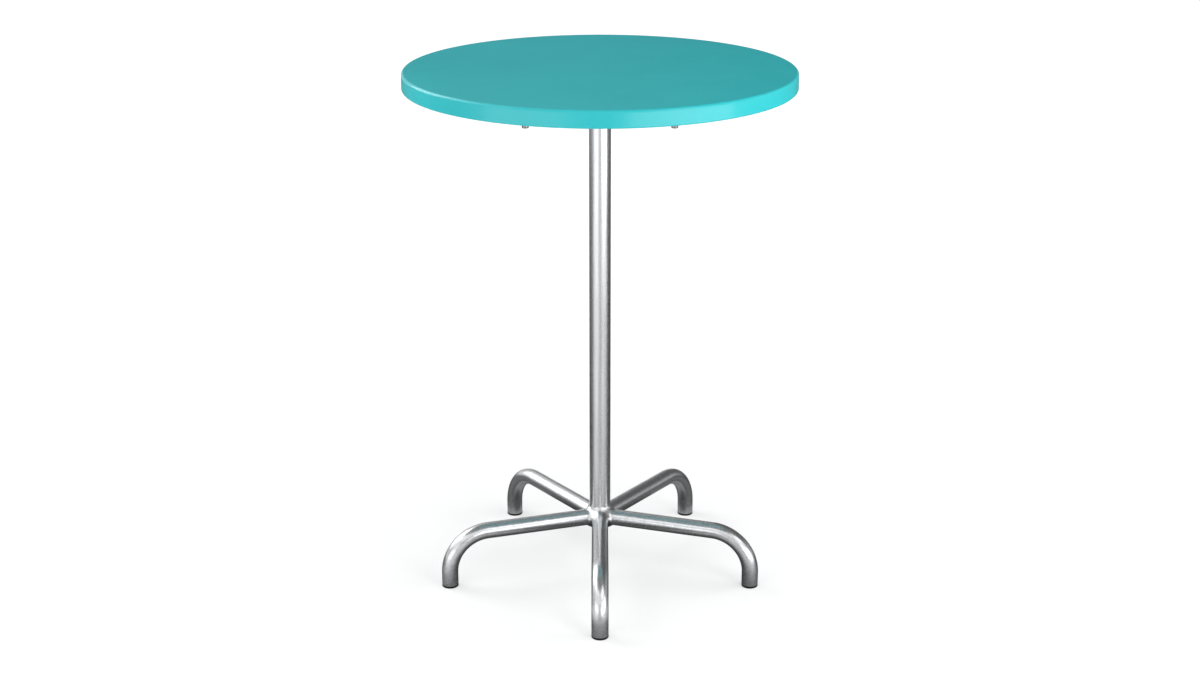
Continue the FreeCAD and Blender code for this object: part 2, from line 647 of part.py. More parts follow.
def column_space(gap):
    """Room that the column takes at the hub, with a gap round it."""
    return rod(COLUMN_DIAMETER + 2 * gap, Vector(0, 0, 0), Z_AXIS * column_top_z)


def bent_leg():
    """Bent tube, coped to the column and mitred to its neighbours."""
    tube = leg_sweep(LEG_DIAMETER).cut(leg_sweep(LEG_DIAMETER - 2 * LEG_WALL))
    return tube.common(leg_wedge()).cut(column_space(WELD_GAP))


def hub_weld():
    """Concave weld round the five leg roots, one flared collar to a leg."""
    root = leg_radius + WELD_GAP
    toe = column_radius + HUB_WELD_ROUND
    crest = root + HUB_WELD_ROUND
    slant = HUB_WELD_ROUND * (1 - math.sqrt(0.5))
    place = plane_xz(0)
    low, high = leg_axis_z + root, leg_axis_z + crest
    hollow = Part.Arc(place(toe, low), place(column_radius + slant, low + slant), place(column_radius, high))
    sides = [(toe, low), (0, low), (0, high), (column_radius, high)]
    edges = [Part.LineSegment(place(*a), place(*b)).toShape() for a, b in zip(sides, sides[1:])]
    section = Part.Face(Part.Wire([hollow.toShape()] + edges[::-1]))
    collar = section.revolve(Vector(0, 0, leg_axis_z), X_AXIS, 360)
    above = Part.makeBox(2 * toe, 4 * crest, 2 * crest, Vector(0, -2 * crest, column_bottom_z))
    collar = collar.common(leg_wedge()).common(above).cut(column_space(WELD_GAP))
    collars = [at_leg(collar, i) for i in range(len(LEG_NAMES))]
    return collars[0].multiFuse(collars[1:]).removeSplitter()


def foot_glide():
    """Plastic glide with a ribbed hollow plug, pushed into a leg end."""
    bore = leg_radius - LEG_WALL - PLUG_CLEARANCE
    core = bore - GLIDE_RIB_DEPTH
    pitch = GLIDE_PLUG_LENGTH / GLIDE_RIB_COUNT
    section = [(0, 0, 0), (0, leg_radius - GLIDE_CHAMFER, 0), (GLIDE_CHAMFER, leg_radius, 0),
               (GLIDE_FLANGE, leg_radius, 0)]
    for i in range(GLIDE_RIB_COUNT):
        foot = GLIDE_FLANGE + pitch * i
        section += [(foot, core, 0), (foot + pitch / 2, core, 0), (foot + pitch / 2, bore, 0)]
    top = GLIDE_FLANGE + GLIDE_PLUG_LENGTH
    hollow = core - GLIDE_WALL
    section += [(top, core, 0), (top, hollow, 0), (GLIDE_FLANGE, hollow, 0), (GLIDE_FLANGE, 0, 0)]
    return turned(section, Vector(FOOT_CIRCLE_RADIUS, 0, 0), Z_AXIS)


def top_pieces():
    """Pieces that tilt with the top, by node name."""
    return {
        "table_top": table_top(),
        "threaded_inserts": threaded_inserts(),
        "rail_left": rail(-1),
        "rail_right": rail(1),
        "rail_end_caps": rail_end_caps(),
        "rail_screws": rail_screws(),
        "rail_washers": rail_washers(),
        "hinge_channel": hinge_channel(),
        "quadrant_left": quadrant(-1),
        "quadrant_right": quadrant(1),
        "frame_welds": frame_welds(),
    }


def head_pieces():
    """Pieces of the hinge head, and the lever on it, by node name."""
    hinge = (HINGE_BOLT_DIAMETER, 0, hinge_z)
    clamp = (CLAMP_BOLT_DIAMETER, clamp_y, clamp_z)
    return {
        "head_base_plate": head_base_plate(),
        "head_cheek_left": head_cheek(-1),
        "head_cheek_right": head_cheek(1),
        "head_weld": head_weld(),
        "friction_pad_left": friction_pad(-1),
        "friction_pad_right": friction_pad(1),
        "hinge_bolt": hinge_bolt(),
        "hinge_nut": hinge_nut(),
        "hinge_washers": pivot_washers(HINGE_WASHER_DIAMETER, *hinge),
        "hinge_spacer": pivot_spacer(hinge[0], HINGE_SPACER_WALL, *hinge[1:]),
        "clamp_bolt": clamp_bolt(),
        "clamp_washers": pivot_washers(CLAMP_WASHER_DIAMETER, *clamp),
        "clamp_spacer": pivot_spacer(clamp[0], CLAMP_SPACER_WALL, *clamp[1:]),
        "clamp_lever": clamp_lever(),
        "lever_grip": lever_grip(),
    }


def base_pieces():
    """Column, hub weld, legs and glides, by node name."""
    pieces = {"column_tube": column_tube(), "hub_weld": hub_weld()}
    leg = bent_leg()
    glide = foot_glide()
    for i, name in enumerate(LEG_NAMES):
        pieces["leg_" + name] = at_leg(leg, i)
        pieces["foot_glide_" + name] = at_leg(glide, i)
    return pieces


os.makedirs("parts", exist_ok=True)
for node, shape in {**top_pieces(), **head_pieces(), **base_pieces()}.items():
    shape.exportStep("parts/" + node + ".step")
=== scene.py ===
"""Looks of a folding standing table: a round gel-coated top on a galvanised pedestal with five bent legs."""

import logging
import math
from dataclasses import dataclass
from enum import Enum
from functools import partial, reduce
from typing import Sequence

import bmesh
import bpy
import numpy as np
from numpy.typing import NDArray
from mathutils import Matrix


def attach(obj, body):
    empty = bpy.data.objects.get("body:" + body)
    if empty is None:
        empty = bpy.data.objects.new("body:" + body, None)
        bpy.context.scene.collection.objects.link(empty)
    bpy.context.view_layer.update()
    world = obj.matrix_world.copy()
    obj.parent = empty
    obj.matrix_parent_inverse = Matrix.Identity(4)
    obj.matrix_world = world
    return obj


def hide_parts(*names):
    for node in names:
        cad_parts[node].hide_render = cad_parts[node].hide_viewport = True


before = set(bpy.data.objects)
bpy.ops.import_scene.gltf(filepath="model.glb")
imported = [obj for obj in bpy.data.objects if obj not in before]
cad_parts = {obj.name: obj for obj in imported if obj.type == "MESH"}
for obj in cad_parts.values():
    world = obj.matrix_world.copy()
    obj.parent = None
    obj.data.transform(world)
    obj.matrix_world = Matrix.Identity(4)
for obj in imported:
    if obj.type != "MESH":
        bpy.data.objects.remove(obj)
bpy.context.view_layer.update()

LOG = logging.getLogger("standing_table")
Array = NDArray[np.float64]
Faces = NDArray[np.int64]
Colour = tuple[float, float, float]
Place = tuple[float, float, float]
Span = tuple[float, float]
Socket = bpy.types.NodeSocket
MM = 0.001
WHITE = (1.0, 1.0, 1.0, 1.0)
UNIT = (0.0, 1.0)
FALLING = (1.0, 0.0)
NOISE_RANGE = (0.3, 0.7)
NO_TRIANGLES = np.zeros((0, 3), dtype=np.int64)


class Body(Enum):
    """Moving bodies that a piece can ride on."""

    PEDESTAL = "pedestal"
    TOP = "top"
    LEVER = "lever"


class Slot(Enum):
    """Material slots of the record."""

    GEL_COAT = "gel_coat"
    TUBE = "galvanised_tube"
    PLATE = "galvanised_plate"
    WELD = "weld"
    FASTENER = "zinc_fastener"
    BRASS = "insert_brass"
    PLASTIC = "glide_plastic"
    FIBRE = "friction_fibre"


class Operation(Enum):
    """Sums that a pattern works out."""

    MULTIPLY = "MULTIPLY"
    MULTIPLY_ADD = "MULTIPLY_ADD"
    GREATEST = "MAXIMUM"
    ABSOLUTE = "ABSOLUTE"
    ANGLE = "ARCTAN2"
    FOLD = "PINGPONG"
    SINE = "SINE"


def linear(red: int, green: int, blue: int) -> Colour:
    """Turns a colour of three numbers up to 255 into linear light.

    Args:
        red: Red, 0 to 255.
        green: Green, 0 to 255.
        blue: Blue, 0 to 255.

    Returns:
        The linear colour, 0 to 1.
    """
    value = np.array([red, green, blue]) / 255.0
    light = np.where(value <= 0.04045, value / 12.92, ((value + 0.055) / 1.055) ** 2.4)
    return float(light[0]), float(light[1]), float(light[2])


class Graph:
    """Node tree that is emptied first and then filled node by node."""

    def __init__(self, tree: bpy.types.NodeTree) -> None:
        """Empties the tree and keeps it."""
        self.tree = tree
        tree.nodes.clear()

    def add(self, kind: str, inputs: dict[str | int, object] | None = None,
            **settings: object) -> bpy.types.Node:
        """Adds a node.

        Args:
            kind: Type name of the node.
            inputs: Values and links of its sockets, by socket name or number.
            settings: Attributes of the node.

        Returns:
            The new node.
        """
        node = self.tree.nodes.new(kind)
        for name, value in settings.items():
            setattr(node, name, value)
        for name, value in (inputs or {}).items():
            self.feed(node.inputs[name], value)
        return node

    def feed(self, socket: Socket, value: object) -> None:
        """Links an output to the socket, or sets the socket's own value.

        Args:
            socket: Input socket.
            value: An output socket or a constant.
        """
        if isinstance(value, Socket):
            self.tree.links.new(value, socket)
        else:
            socket.default_value = value

    def place(self) -> Socket:
        """Gives the place on the piece, in the piece's own coordinates."""
        return self.add("ShaderNodeTexCoord").outputs["Object"]

    def length(self, vector: Socket) -> Socket:
        """Gives the length of a vector."""
        return self.add("ShaderNodeVectorMath", {0: vector}, operation="LENGTH").outputs["Value"]

    def noise(self, place: Socket, scale: float, detail: float) -> Socket:
        """Gives a cloudy pattern between 0 and 1.

        Args:
            place: Pattern coordinates.
            scale: Clouds for each metre.
            detail: Finer layers in each cloud.

        Returns:
            The pattern's output.
        """
        node = self.add("ShaderNodeTexNoise", {"Vector": place, "Scale": scale, "Detail": detail})
        return node.outputs["Fac"]

    def ramp(self, factor: Socket, stops: Sequence[tuple[float, Colour]]) -> Socket:
        """Colours a factor.

        Args:
            factor: Output that drives the ramp.
            stops: Factor and linear colour of each stop, from low to high.

        Returns:
            The ramp's colour output.
        """
        node = self.add("ShaderNodeValToRGB", {"Fac": factor})
        elements = node.color_ramp.elements
        while len(elements) < len(stops):
            elements.new(0.5)
        for element, (at, colour) in zip(elements, stops):
            element.position, element.color = at, (*colour, 1.0)
        return node.outputs["Color"]

    def remap(self, factor: Socket, source: Span, result: Span) -> Socket:
        """Maps a factor from one range to another, and keeps it within that range.

        Args:
            factor: Output to map.
            source: Range of the factor.
            result: Range it is mapped to.

        Returns:
            The mapped output.
        """
        inputs = {"Value": factor, "From Min": source[0], "From Max": source[1],
                  "To Min": result[0], "To Max": result[1]}
        return self.add("ShaderNodeMapRange", inputs).outputs["Result"]

    def work_out(self, operation: Operation, *values: Socket | float) -> Socket:
        """Works out a number from one to three others.

        Args:
            operation: What is worked out.
            values: Outputs or constants, in the order of the node's sockets.

        Returns:
            The result.
        """
        node = self.add("ShaderNodeMath", dict(enumerate(values)), operation=operation.value)
        return node.outputs["Value"]

    def greatest(self, *values: Socket) -> Socket:
        """Gives the greatest of several numbers."""
        return reduce(partial(self.work_out, Operation.GREATEST), values)

    def product(self, *values: Socket) -> Socket:
        """Multiplies several numbers."""
        return reduce(partial(self.work_out, Operation.MULTIPLY), values)

    def glow(self, colour: object, strength: object) -> Socket:
        """Adds a surface that shines by itself, by its colour and strength."""
        return self.add("ShaderNodeEmission", {"Color": colour, "Strength": strength}).outputs["Emission"]

    def set_surface(self, shader: Socket) -> None:
        """Makes a shader the surface of the material."""
        self.add("ShaderNodeOutputMaterial", {"Surface": shader})


def new_material(title: str) -> tuple[bpy.types.Material, Graph]:
    """Makes a material with an empty node tree.

    Args:
        title: Name of the material.

    Returns:
        The material and its tree.
    """
    material = bpy.data.materials.new(title)
    material.use_nodes = True
    return material, Graph(material.node_tree)


@dataclass(frozen=True)
class Finish:
    """Surface finish: two mottled tones, a fine grain in the roughness and a shallow relief.

    Attributes:
        name: Name of the material.
        tones: The two linear colours that the mottling moves between.
        roughness: Lowest and highest roughness of the grain.
        metallic: 1 for bare metal, 0 otherwise.
        mottle_scale: Mottles for each metre.
        grain_scale: Grains for each metre.
        relief_scale: Bumps for each metre.
        relief_depth: Depth of the bumps in metres.
        relief_strength: Share of the relief that shows.
        stretch: Scale of the pattern along X, Y and Z.
        spangle: Share of crystal-like flakes in the colour and roughness.
        specular: Specular level.
        details: Finer layers in the mottling, the grain and the relief.
        flake_scale: Flakes for each mottle.
        flake_rough: Roughness of a flake as a share of the spangle.
    """

    name: str
    tones: tuple[Colour, Colour]
    roughness: Span
    metallic: float
    mottle_scale: float
    grain_scale: float
    relief_scale: float
    relief_depth: float
    relief_strength: float
    stretch: tuple[float, float, float] = (1.0, 1.0, 1.0)
    spangle: float = 0.0
    specular: float = 0.5
    details: tuple[float, float, float] = (4.0, 3.0, 2.0)
    flake_scale: float = 6.0
    flake_rough: float = 0.3

    def material(self) -> bpy.types.Material:
        """Builds the material, or gives the one that is there already.

        Returns:
            The material.
        """
        title = f"{self.name}_finish"
        made = bpy.data.materials.get(title)
        if made is not None:
            return made
        made, graph = new_material(title)
        mapping = graph.add("ShaderNodeMapping", {"Vector": graph.place(), "Scale": self.stretch})
        place = mapping.outputs["Vector"]
        scales = (self.mottle_scale, self.grain_scale, self.relief_scale)
        mottle, grain, relief = (graph.noise(place, *pair) for pair in zip(scales, self.details))
        tone = graph.ramp(mottle, tuple(zip(NOISE_RANGE, self.tones)))
        rough = graph.remap(grain, NOISE_RANGE, self.roughness)
        if self.spangle:
            tone, rough = self.flaked(graph, place, tone, rough)
        bump = graph.add("ShaderNodeBump", {"Height": relief, "Strength": self.relief_strength,
                                            "Distance": self.relief_depth})
        shader = graph.add("ShaderNodeBsdfPrincipled", {
            "Base Color": tone, "Roughness": rough, "Metallic": self.metallic,
            "Specular IOR Level": self.specular, "Normal": bump.outputs["Normal"]})
        graph.set_surface(shader.outputs["BSDF"])
        return made

    def flaked(self, graph: Graph, place: Socket, tone: Socket, rough: Socket) -> tuple[Socket, Socket]:
        """Adds the zinc flakes of a hot-dipped surface.

        Args:
            graph: Tree of the material.
            place: Pattern coordinates.
            tone: Colour so far.
            rough: Roughness so far.

        Returns:
            The colour and the roughness with flakes.
        """
        scale = self.mottle_scale * self.flake_scale
        flakes = graph.add("ShaderNodeTexVoronoi", {"Vector": place, "Scale": scale})
        shade = graph.add("ShaderNodeSeparateColor", {"Color": flakes.outputs["Color"]}).outputs["Red"]
        light = graph.remap(shade, UNIT, (1.0 - self.spangle, 1.0))
        mixed = graph.add("ShaderNodeVectorMath", {0: tone, 1: light}, operation="MULTIPLY")
        added = graph.work_out(Operation.MULTIPLY_ADD, shade, self.spangle * self.flake_rough, rough)
        return mixed.outputs["Vector"], added


GEL_COAT = Finish(
    "gel_coat", (linear(38, 180, 186), linear(43, 186, 192)), roughness=(0.17, 0.24), metallic=0.0,
    mottle_scale=5.0, grain_scale=260.0, relief_scale=420.0, relief_depth=0.0002, relief_strength=0.06,
    specular=0.45)
# Rougher finish of the moulding's open side. Its paler, greyer tone is painted light, which brightens the
# underside that the legs mirror.
DULL_BACK_AND_PAINTED_LIGHT = Finish(
    "dull_back_and_painted_light", (linear(116, 162, 166), linear(134, 173, 177)), roughness=(0.42, 0.58), metallic=0.0,
    mottle_scale=24.0, grain_scale=320.0, relief_scale=240.0, relief_depth=0.0006, relief_strength=0.22,
    specular=0.4)
TUBE_ZINC = Finish(
    "galvanised_tube", (linear(208, 210, 212), linear(226, 228, 230)), roughness=(0.24, 0.31), metallic=1.0,
    mottle_scale=110.0, grain_scale=900.0, relief_scale=700.0, relief_depth=0.0001, relief_strength=0.04,
    spangle=0.05)
COLUMN_ZINC = Finish(
    "drawn_column", (linear(206, 208, 210), linear(228, 230, 232)), roughness=(0.24, 0.31), metallic=1.0,
    mottle_scale=150.0, grain_scale=900.0, relief_scale=500.0, relief_depth=0.0001, relief_strength=0.05,
    stretch=(1.0, 1.0, 0.05), spangle=0.03)
PLATE_ZINC = Finish(
    "galvanised_plate", (linear(176, 179, 182), linear(208, 211, 214)), roughness=(0.26, 0.42), metallic=1.0,
    mottle_scale=45.0, grain_scale=700.0, relief_scale=500.0, relief_depth=0.0002, relief_strength=0.16,
    spangle=0.16)
WELD_ZINC = Finish(
    "weld_zinc", (linear(196, 198, 200), linear(216, 218, 220)), roughness=(0.28, 0.36), metallic=1.0,
    mottle_scale=110.0, grain_scale=900.0, relief_scale=170.0, relief_depth=0.0012, relief_strength=0.45)
FASTENER_ZINC = Finish(
    "zinc_fastener", (linear(202, 206, 210), linear(226, 229, 232)), roughness=(0.16, 0.28), metallic=1.0,
    mottle_scale=220.0, grain_scale=1500.0, relief_scale=1800.0, relief_depth=0.0001, relief_strength=0.10)
# A darker copy of the fastener zinc: painted shade for the rail screws and washers that sit under the top.
SCREW_ZINC_PAINTED_SHADE = Finish(
    "screw_zinc_painted_shade", (linear(118, 121, 124), linear(150, 153, 156)), roughness=(0.14, 0.24), metallic=1.0,
    mottle_scale=160.0, grain_scale=900.0, relief_scale=500.0, relief_depth=0.0001, relief_strength=0.10)
BRASS = Finish(
    "insert_brass", (linear(196, 160, 84), linear(216, 182, 104)), roughness=(0.24, 0.36), metallic=1.0,
    mottle_scale=260.0, grain_scale=1500.0, relief_scale=1800.0, relief_depth=0.0001, relief_strength=0.10)
BLACK_PLASTIC = Finish(
    "glide_plastic", (linear(14, 14, 15), linear(22, 22, 23)), roughness=(0.42, 0.58), metallic=0.0,
    mottle_scale=140.0, grain_scale=1400.0, relief_scale=2200.0, relief_depth=0.0001, relief_strength=0.30,
    specular=0.3)
FIBRE = Finish(
    "friction_fibre", (linear(78, 66, 54), linear(112, 98, 82)), roughness=(0.75, 0.92), metallic=0.0,
    mottle_scale=700.0, grain_scale=1500.0, relief_scale=2000.0, relief_depth=0.0002, relief_strength=0.40)


@dataclass
class Surface:
    """Mesh as plain arrays, in millimetres.

    Attributes:
        points: Vertices, three numbers each.
        quads: Faces of four vertices.
        triangles: Faces of three vertices.
    """

    points: Array
    quads: Faces
    triangles: Faces

    def outward(self) -> "Surface":
        """Turns a closed surface so that its faces point outward, by the sign of its enclosed volume.

        Returns:
            The surface itself, turned if it was inside out.
        """
        corners = np.concatenate([self.quads[:, [0, 1, 2]], self.quads[:, [0, 2, 3]], self.triangles])
        first, second, third = (self.points[corners[:, i]] for i in range(3))
        if np.einsum("ij,ij->", first, np.cross(second, third)) < 0:
            self.quads, self.triangles = self.quads[:, ::-1], self.triangles[:, ::-1]
        return self

    @staticmethod
    def joined(parts: Sequence["Surface"]) -> "Surface":
        """Puts several surfaces in one.

        Args:
            parts: The surfaces.

        Returns:
            One surface with all their faces.
        """
        starts = np.cumsum([0] + [len(part.points) for part in parts[:-1]])
        return Surface(np.concatenate([part.points for part in parts]),
                       np.concatenate([part.quads + at for part, at in zip(parts, starts)]),
                       np.concatenate([part.triangles + at for part, at in zip(parts, starts)]))


def skin(rings: Array, closed: bool = False) -> Surface:
    """Covers a row of rings with quads.

    Neighbouring rings are joined point to point and each ring closes on itself. An open row is closed at
    both ends by a fan to the middle of its end ring; a closed row joins its last ring to its first.

    Args:
        rings: Points by ring, place in the ring and coordinate.
        closed: Whether the row of rings closes on itself.

    Returns:
        The closed surface, faces outward.
    """
    rows, columns = rings.shape[:2]
    index = np.arange(rows * columns).reshape(rows, columns)
    upper = np.roll(index, -1, axis=0) if closed else index[1:]
    lower = index if closed else index[:-1]
    quads = np.stack([lower, np.roll(lower, -1, axis=1), np.roll(upper, -1, axis=1), upper], axis=-1)
    points = rings.reshape(-1, 3)
    triangles = NO_TRIANGLES
    if not closed:
        points = np.concatenate([points, rings[[0, -1]].mean(axis=1)])
        first, last = index[0], index[-1]
        middle = np.full(columns, rows * columns)
        triangles = np.concatenate([np.stack([np.roll(first, -1), first, middle], axis=-1),
                                    np.stack([last, np.roll(last, -1), middle + 1], axis=-1)])
    return Surface(points, quads.reshape(-1, 4), triangles).outward()


def rounded(corners: Sequence[tuple[float, float, float]], steps: int = 10, closed: bool = False,
            margin: float = 0.25) -> Array:
    """Rounds the corners of a line and adds a point beside each arc that keeps the flat next to it flat.

    Each arc is the circle of the corner's radius that touches both sides, in equal steps of its angle.

    Args:
        corners: Two coordinates and a radius for each corner.
        steps: Steps in each arc.
        closed: Whether the line closes on itself.
        margin: How far beside an arc its extra points lie, as a share of the radius.

    Returns:
        The points of the rounded line.
    """
    table = np.array(corners, dtype=float)
    count = len(table)
    line: list[Array] = []
    for i, (across, up, radius) in enumerate(table):
        here = np.array([across, up])
        if radius <= 0 or (not closed and i in (0, count - 1)):
            line.append(here[None, :])
            continue
        back, ahead = table[i - 1, :2] - here, table[(i + 1) % count, :2] - here
        reach_back, reach_ahead = np.linalg.norm(back), np.linalg.norm(ahead)
        back, ahead = back / reach_back, ahead / reach_ahead
        half = math.acos(float(np.clip(back @ ahead, -1, 1))) / 2
        trim = radius / math.tan(half)
        bisector = (back + ahead) / np.linalg.norm(back + ahead)
        centre = here + bisector * radius / math.sin(half)
        sweep = np.linspace(-1, 1, steps + 1)[:, None] * (math.pi / 2 - half)
        side = (ahead - back) / np.linalg.norm(ahead - back)
        arc = centre + radius * (np.sin(sweep) * side - np.cos(sweep) * bisector)
        beside = trim + margin * radius
        before = here + back * min(beside, (trim + reach_back) / 2)
        after = here + ahead * min(beside, (trim + reach_ahead) / 2)
        line.append(np.concatenate([before[None, :], arc, after[None, :]]))
    return np.concatenate(line)


def turned(profile: Array, segments: int, closed: bool = False, middle: Span = (0.0, 0.0)) -> Surface:
    """Turns a profile about a vertical axis.

    A point at radius r and height z becomes the ring (r cos a, r sin a, z) for a all the way round.

    Args:
        profile: Radius and height of each point.
        segments: Steps round the axis.
        closed: Whether the profile closes on itself.
        middle: Where the axis stands.

    Returns:
        The closed surface.
    """
    angle = np.linspace(0, 2 * math.pi, segments, endpoint=False)
    radius = profile[:, :1]
    height = np.broadcast_to(profile[:, 1:], (len(profile), segments))
    across, along = radius * np.cos(angle) + middle[0], radius * np.sin(angle) + middle[1]
    return skin(np.stack([across, along, height], axis=-1), closed)


def swung(out: Array, across: Array, height: Array, degrees: float) -> Array:
    """Turns points about the vertical axis into the direction of a leg or a rib.

    A point goes to (out cos a - across sin a, out sin a + across cos a, height) at the direction a.

    Args:
        out: Distance along the direction.
        across: Distance beside it.
        height: Height of the point.
        degrees: The direction.

    Returns:
        The points, three numbers each.
    """
    angle = math.radians(degrees)
    return np.stack([out * math.cos(angle) - across * math.sin(angle),
                     out * math.sin(angle) + across * math.cos(angle), height], axis=-1)


def dress(mesh: bpy.types.Mesh, finish: Finish) -> None:
    """Makes a finish the mesh's only material."""
    mesh.materials.clear()
    mesh.materials.append(finish.material())


def smooth(mesh: bpy.types.Mesh) -> None:
    """Shades all faces of a mesh smooth."""
    mesh.polygons.foreach_set("use_smooth", np.ones(len(mesh.polygons), dtype=bool))


def fix(name: str, mesh: bpy.types.Mesh, body: Body, nodes: Sequence[str]) -> bpy.types.Object:
    """Makes a piece of a mesh and fixes it to its body.

    Args:
        name: Name of the piece.
        mesh: Its mesh.
        body: Body that it rides on.
        nodes: Nodes that it stands for.

    Returns:
        The piece.
    """
    piece = bpy.data.objects.new(name, mesh)
    bpy.context.scene.collection.objects.link(piece)
    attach(piece, body.value)
    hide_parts(*nodes)
    return piece


def show(name: str, surface: Surface, finish: Finish, body: Body, nodes: Sequence[str],
         crease: float = 32.0) -> bpy.types.Object:
    """Makes a piece of a surface, dresses it and fixes it to its body.

    Args:
        name: Name of the piece.
        surface: The mesh, in millimetres.
        finish: Its finish.
        body: Body that it rides on.
        nodes: Nodes that it stands for.
        crease: Angle in degrees above which an edge stays sharp.

    Returns:
        The piece.
    """
    mesh = bpy.data.meshes.new(name)
    mesh.from_pydata((surface.points * MM).tolist(), [], surface.quads.tolist() + surface.triangles.tolist())
    smooth(mesh)
    mesh.set_sharp_from_angle(angle=math.radians(crease))
    dress(mesh, finish)
    mesh.update()
    piece = fix(name, mesh, body, nodes)
    LOG.info("%s: %d faces on %s", name, len(mesh.polygons), body.value)
    return piece


@dataclass
class TableTop:
    """Round moulded top with its rim, ribs and screw bosses.

    Sizes are in millimetres, the draft in degrees. The plate's middle is one flat disc, and a flat margin
    keeps the shading level beside the rim. Ribs and bosses start at the root depth inside the plate, and the
    underside's finish overlaps the lip a little.
    """

    radius: float = 400.0
    surface_height: float = 1100.0
    plate: float = 5.0
    rim_bottom: float = 1066.0
    draft: float = 0.9
    wall: float = 6.0
    edge_round: float = 5.0
    lip_round: float = 2.8
    inner_lip_round: float = 1.5
    root_round: float = 8.0
    middle_radius: float = 60.0
    flat_margin: float = 30.0
    shell_segments: int = 320
    root_depth: float = 1.0
    rib_bottom: float = 1089.0
    rib_root: float = 5.0
    rib_tip: float = 3.0
    rib_tip_round: float = 0.8
    rib_flare: float = 1.5
    rib_step: float = 0.25
    rib_rings: Span = (120.0, 265.1)
    rib_segments: int = 240
    rib_count: int = 12
    rib_stations: int = 5
    boss_across: float = 140.0
    boss_along: float = 301.96
    boss_radius: float = 14.0
    boss_bottom: float = 1086.0
    boss_edge_round: float = 1.0
    boss_taper: float = 0.5
    boss_foot: float = 5.0
    boss_foot_height: float = 2.0
    boss_foot_round: float = 3.0
    boss_segments: int = 64
    insert_radius: float = 6.0
    insert_round: float = 0.5
    lip_overlap: float = 0.6

    def shell(self) -> Surface:
        """Turns the section of the plate and the rim about the table's axis.

        Returns:
            The closed shell.
        """
        lean = math.tan(math.radians(self.draft))
        top, under = self.surface_height, self.surface_height - self.plate
        shoulder = self.radius - (top - self.rim_bottom) * lean
        inner_foot = self.radius - self.wall
        inner_root = inner_foot - (under - self.rim_bottom) * lean
        profile = rounded([
            (self.middle_radius, under, 0.0), (inner_root - self.flat_margin, under, 0.0),
            (inner_root, under, self.root_round), (inner_foot, self.rim_bottom, self.inner_lip_round),
            (self.radius, self.rim_bottom, self.lip_round), (shoulder, top, self.edge_round),
            (shoulder - self.flat_margin, top, 0.0), (self.middle_radius, top, 0.0)])
        return turned(profile, self.shell_segments)

    def root(self) -> float:
        """Gives the height inside the plate where ribs and bosses start."""
        return self.surface_height - self.plate + self.root_depth

    def rib_section(self, middle: float, bottom: float) -> Array:
        """Draws a rib's section: flared at the root, tapered, with a rounded tip.

        Args:
            middle: Where the rib's middle lies.
            bottom: Height of its tip.

        Returns:
            The closed outline, two numbers for each point.
        """
        half_root, half_tip, top = self.rib_root / 2, self.rib_tip / 2, self.root()
        flare, tip_round = self.rib_flare, self.rib_tip_round
        return rounded([
            (middle - half_root - flare, top, 0.0), (middle - half_root, top - flare, flare),
            (middle - half_tip, bottom, tip_round), (middle + half_tip, bottom, tip_round),
            (middle + half_root, top - flare, flare), (middle + half_root + flare, top, 0.0)],
            steps=4, closed=True)

    def ring_rib(self, radius: float) -> Surface:
        """Turns the rib section about the table's axis, at one radius."""
        return turned(self.rib_section(radius, self.rib_bottom), self.rib_segments, closed=True)

    def radial_ribs(self) -> list[Surface]:
        """Sweeps the rib section outward from the inner ring to the rim, once for each rib.

        These ribs are a step shallower than the rings, so that no two faces coincide where they cross.

        Returns:
            One closed surface for each rib.
        """
        section = self.rib_section(0.0, self.rib_bottom + self.rib_step)
        reach = np.linspace(self.rib_rings[0], self.radius - self.wall, self.rib_stations)[:, None]
        along, across = np.broadcast_arrays(reach, section[None, :, 0])
        height = np.broadcast_to(section[None, :, 1], along.shape)
        pitch = 360.0 / self.rib_count
        return [skin(swung(along, across, height, (i + 0.5) * pitch)) for i in range(self.rib_count)]

    def boss(self, middle: Span) -> Surface:
        """Turns a screw boss with a flared foot about the screw's axis.

        Args:
            middle: Where the screw stands.

        Returns:
            The closed boss, hollow for its insert.
        """
        top = self.root()
        profile = rounded([
            (self.insert_radius, top, 0.0), (self.insert_radius, self.boss_bottom, self.insert_round),
            (self.boss_radius, self.boss_bottom, self.boss_edge_round),
            (self.boss_radius + self.boss_taper, top - self.boss_foot_height, self.boss_foot_round),
            (self.boss_radius + self.boss_foot, top, 0.0)], steps=5, closed=True)
        return turned(profile, self.boss_segments, closed=True, middle=middle)

    def build(self) -> None:
        """Builds the top as one piece."""
        rings = [self.ring_rib(radius) for radius in self.rib_rings]
        bosses = [self.boss((across * self.boss_across, along * self.boss_along))
                  for along in (1, -1) for across in (1, -1)]
        whole = Surface.joined([self.shell(), *rings, *self.radial_ribs(), *bosses])
        piece = show("top_shell", whole, GEL_COAT, Body.TOP, ["table_top"])
        self.dress_underside(piece.data)

    def dress_underside(self, mesh: bpy.types.Mesh) -> None:
        """Gives the faces inside the rim the duller finish of the mould's open side, in a paler, greyer tone
        that is painted light on the underside.

        Args:
            mesh: Mesh of the top.
        """
        mesh.materials.append(DULL_BACK_AND_PAINTED_LIGHT.material())
        centres = np.empty(len(mesh.polygons) * 3)
        mesh.polygons.foreach_get("center", centres)
        centres = centres.reshape(-1, 3) / MM
        inside = np.hypot(centres[:, 0], centres[:, 1]) < self.radius - self.wall + self.lip_overlap
        below = centres[:, 2] < self.surface_height - self.plate / 2
        mesh.polygons.foreach_set("material_index", (inside & below).astype(np.int32))


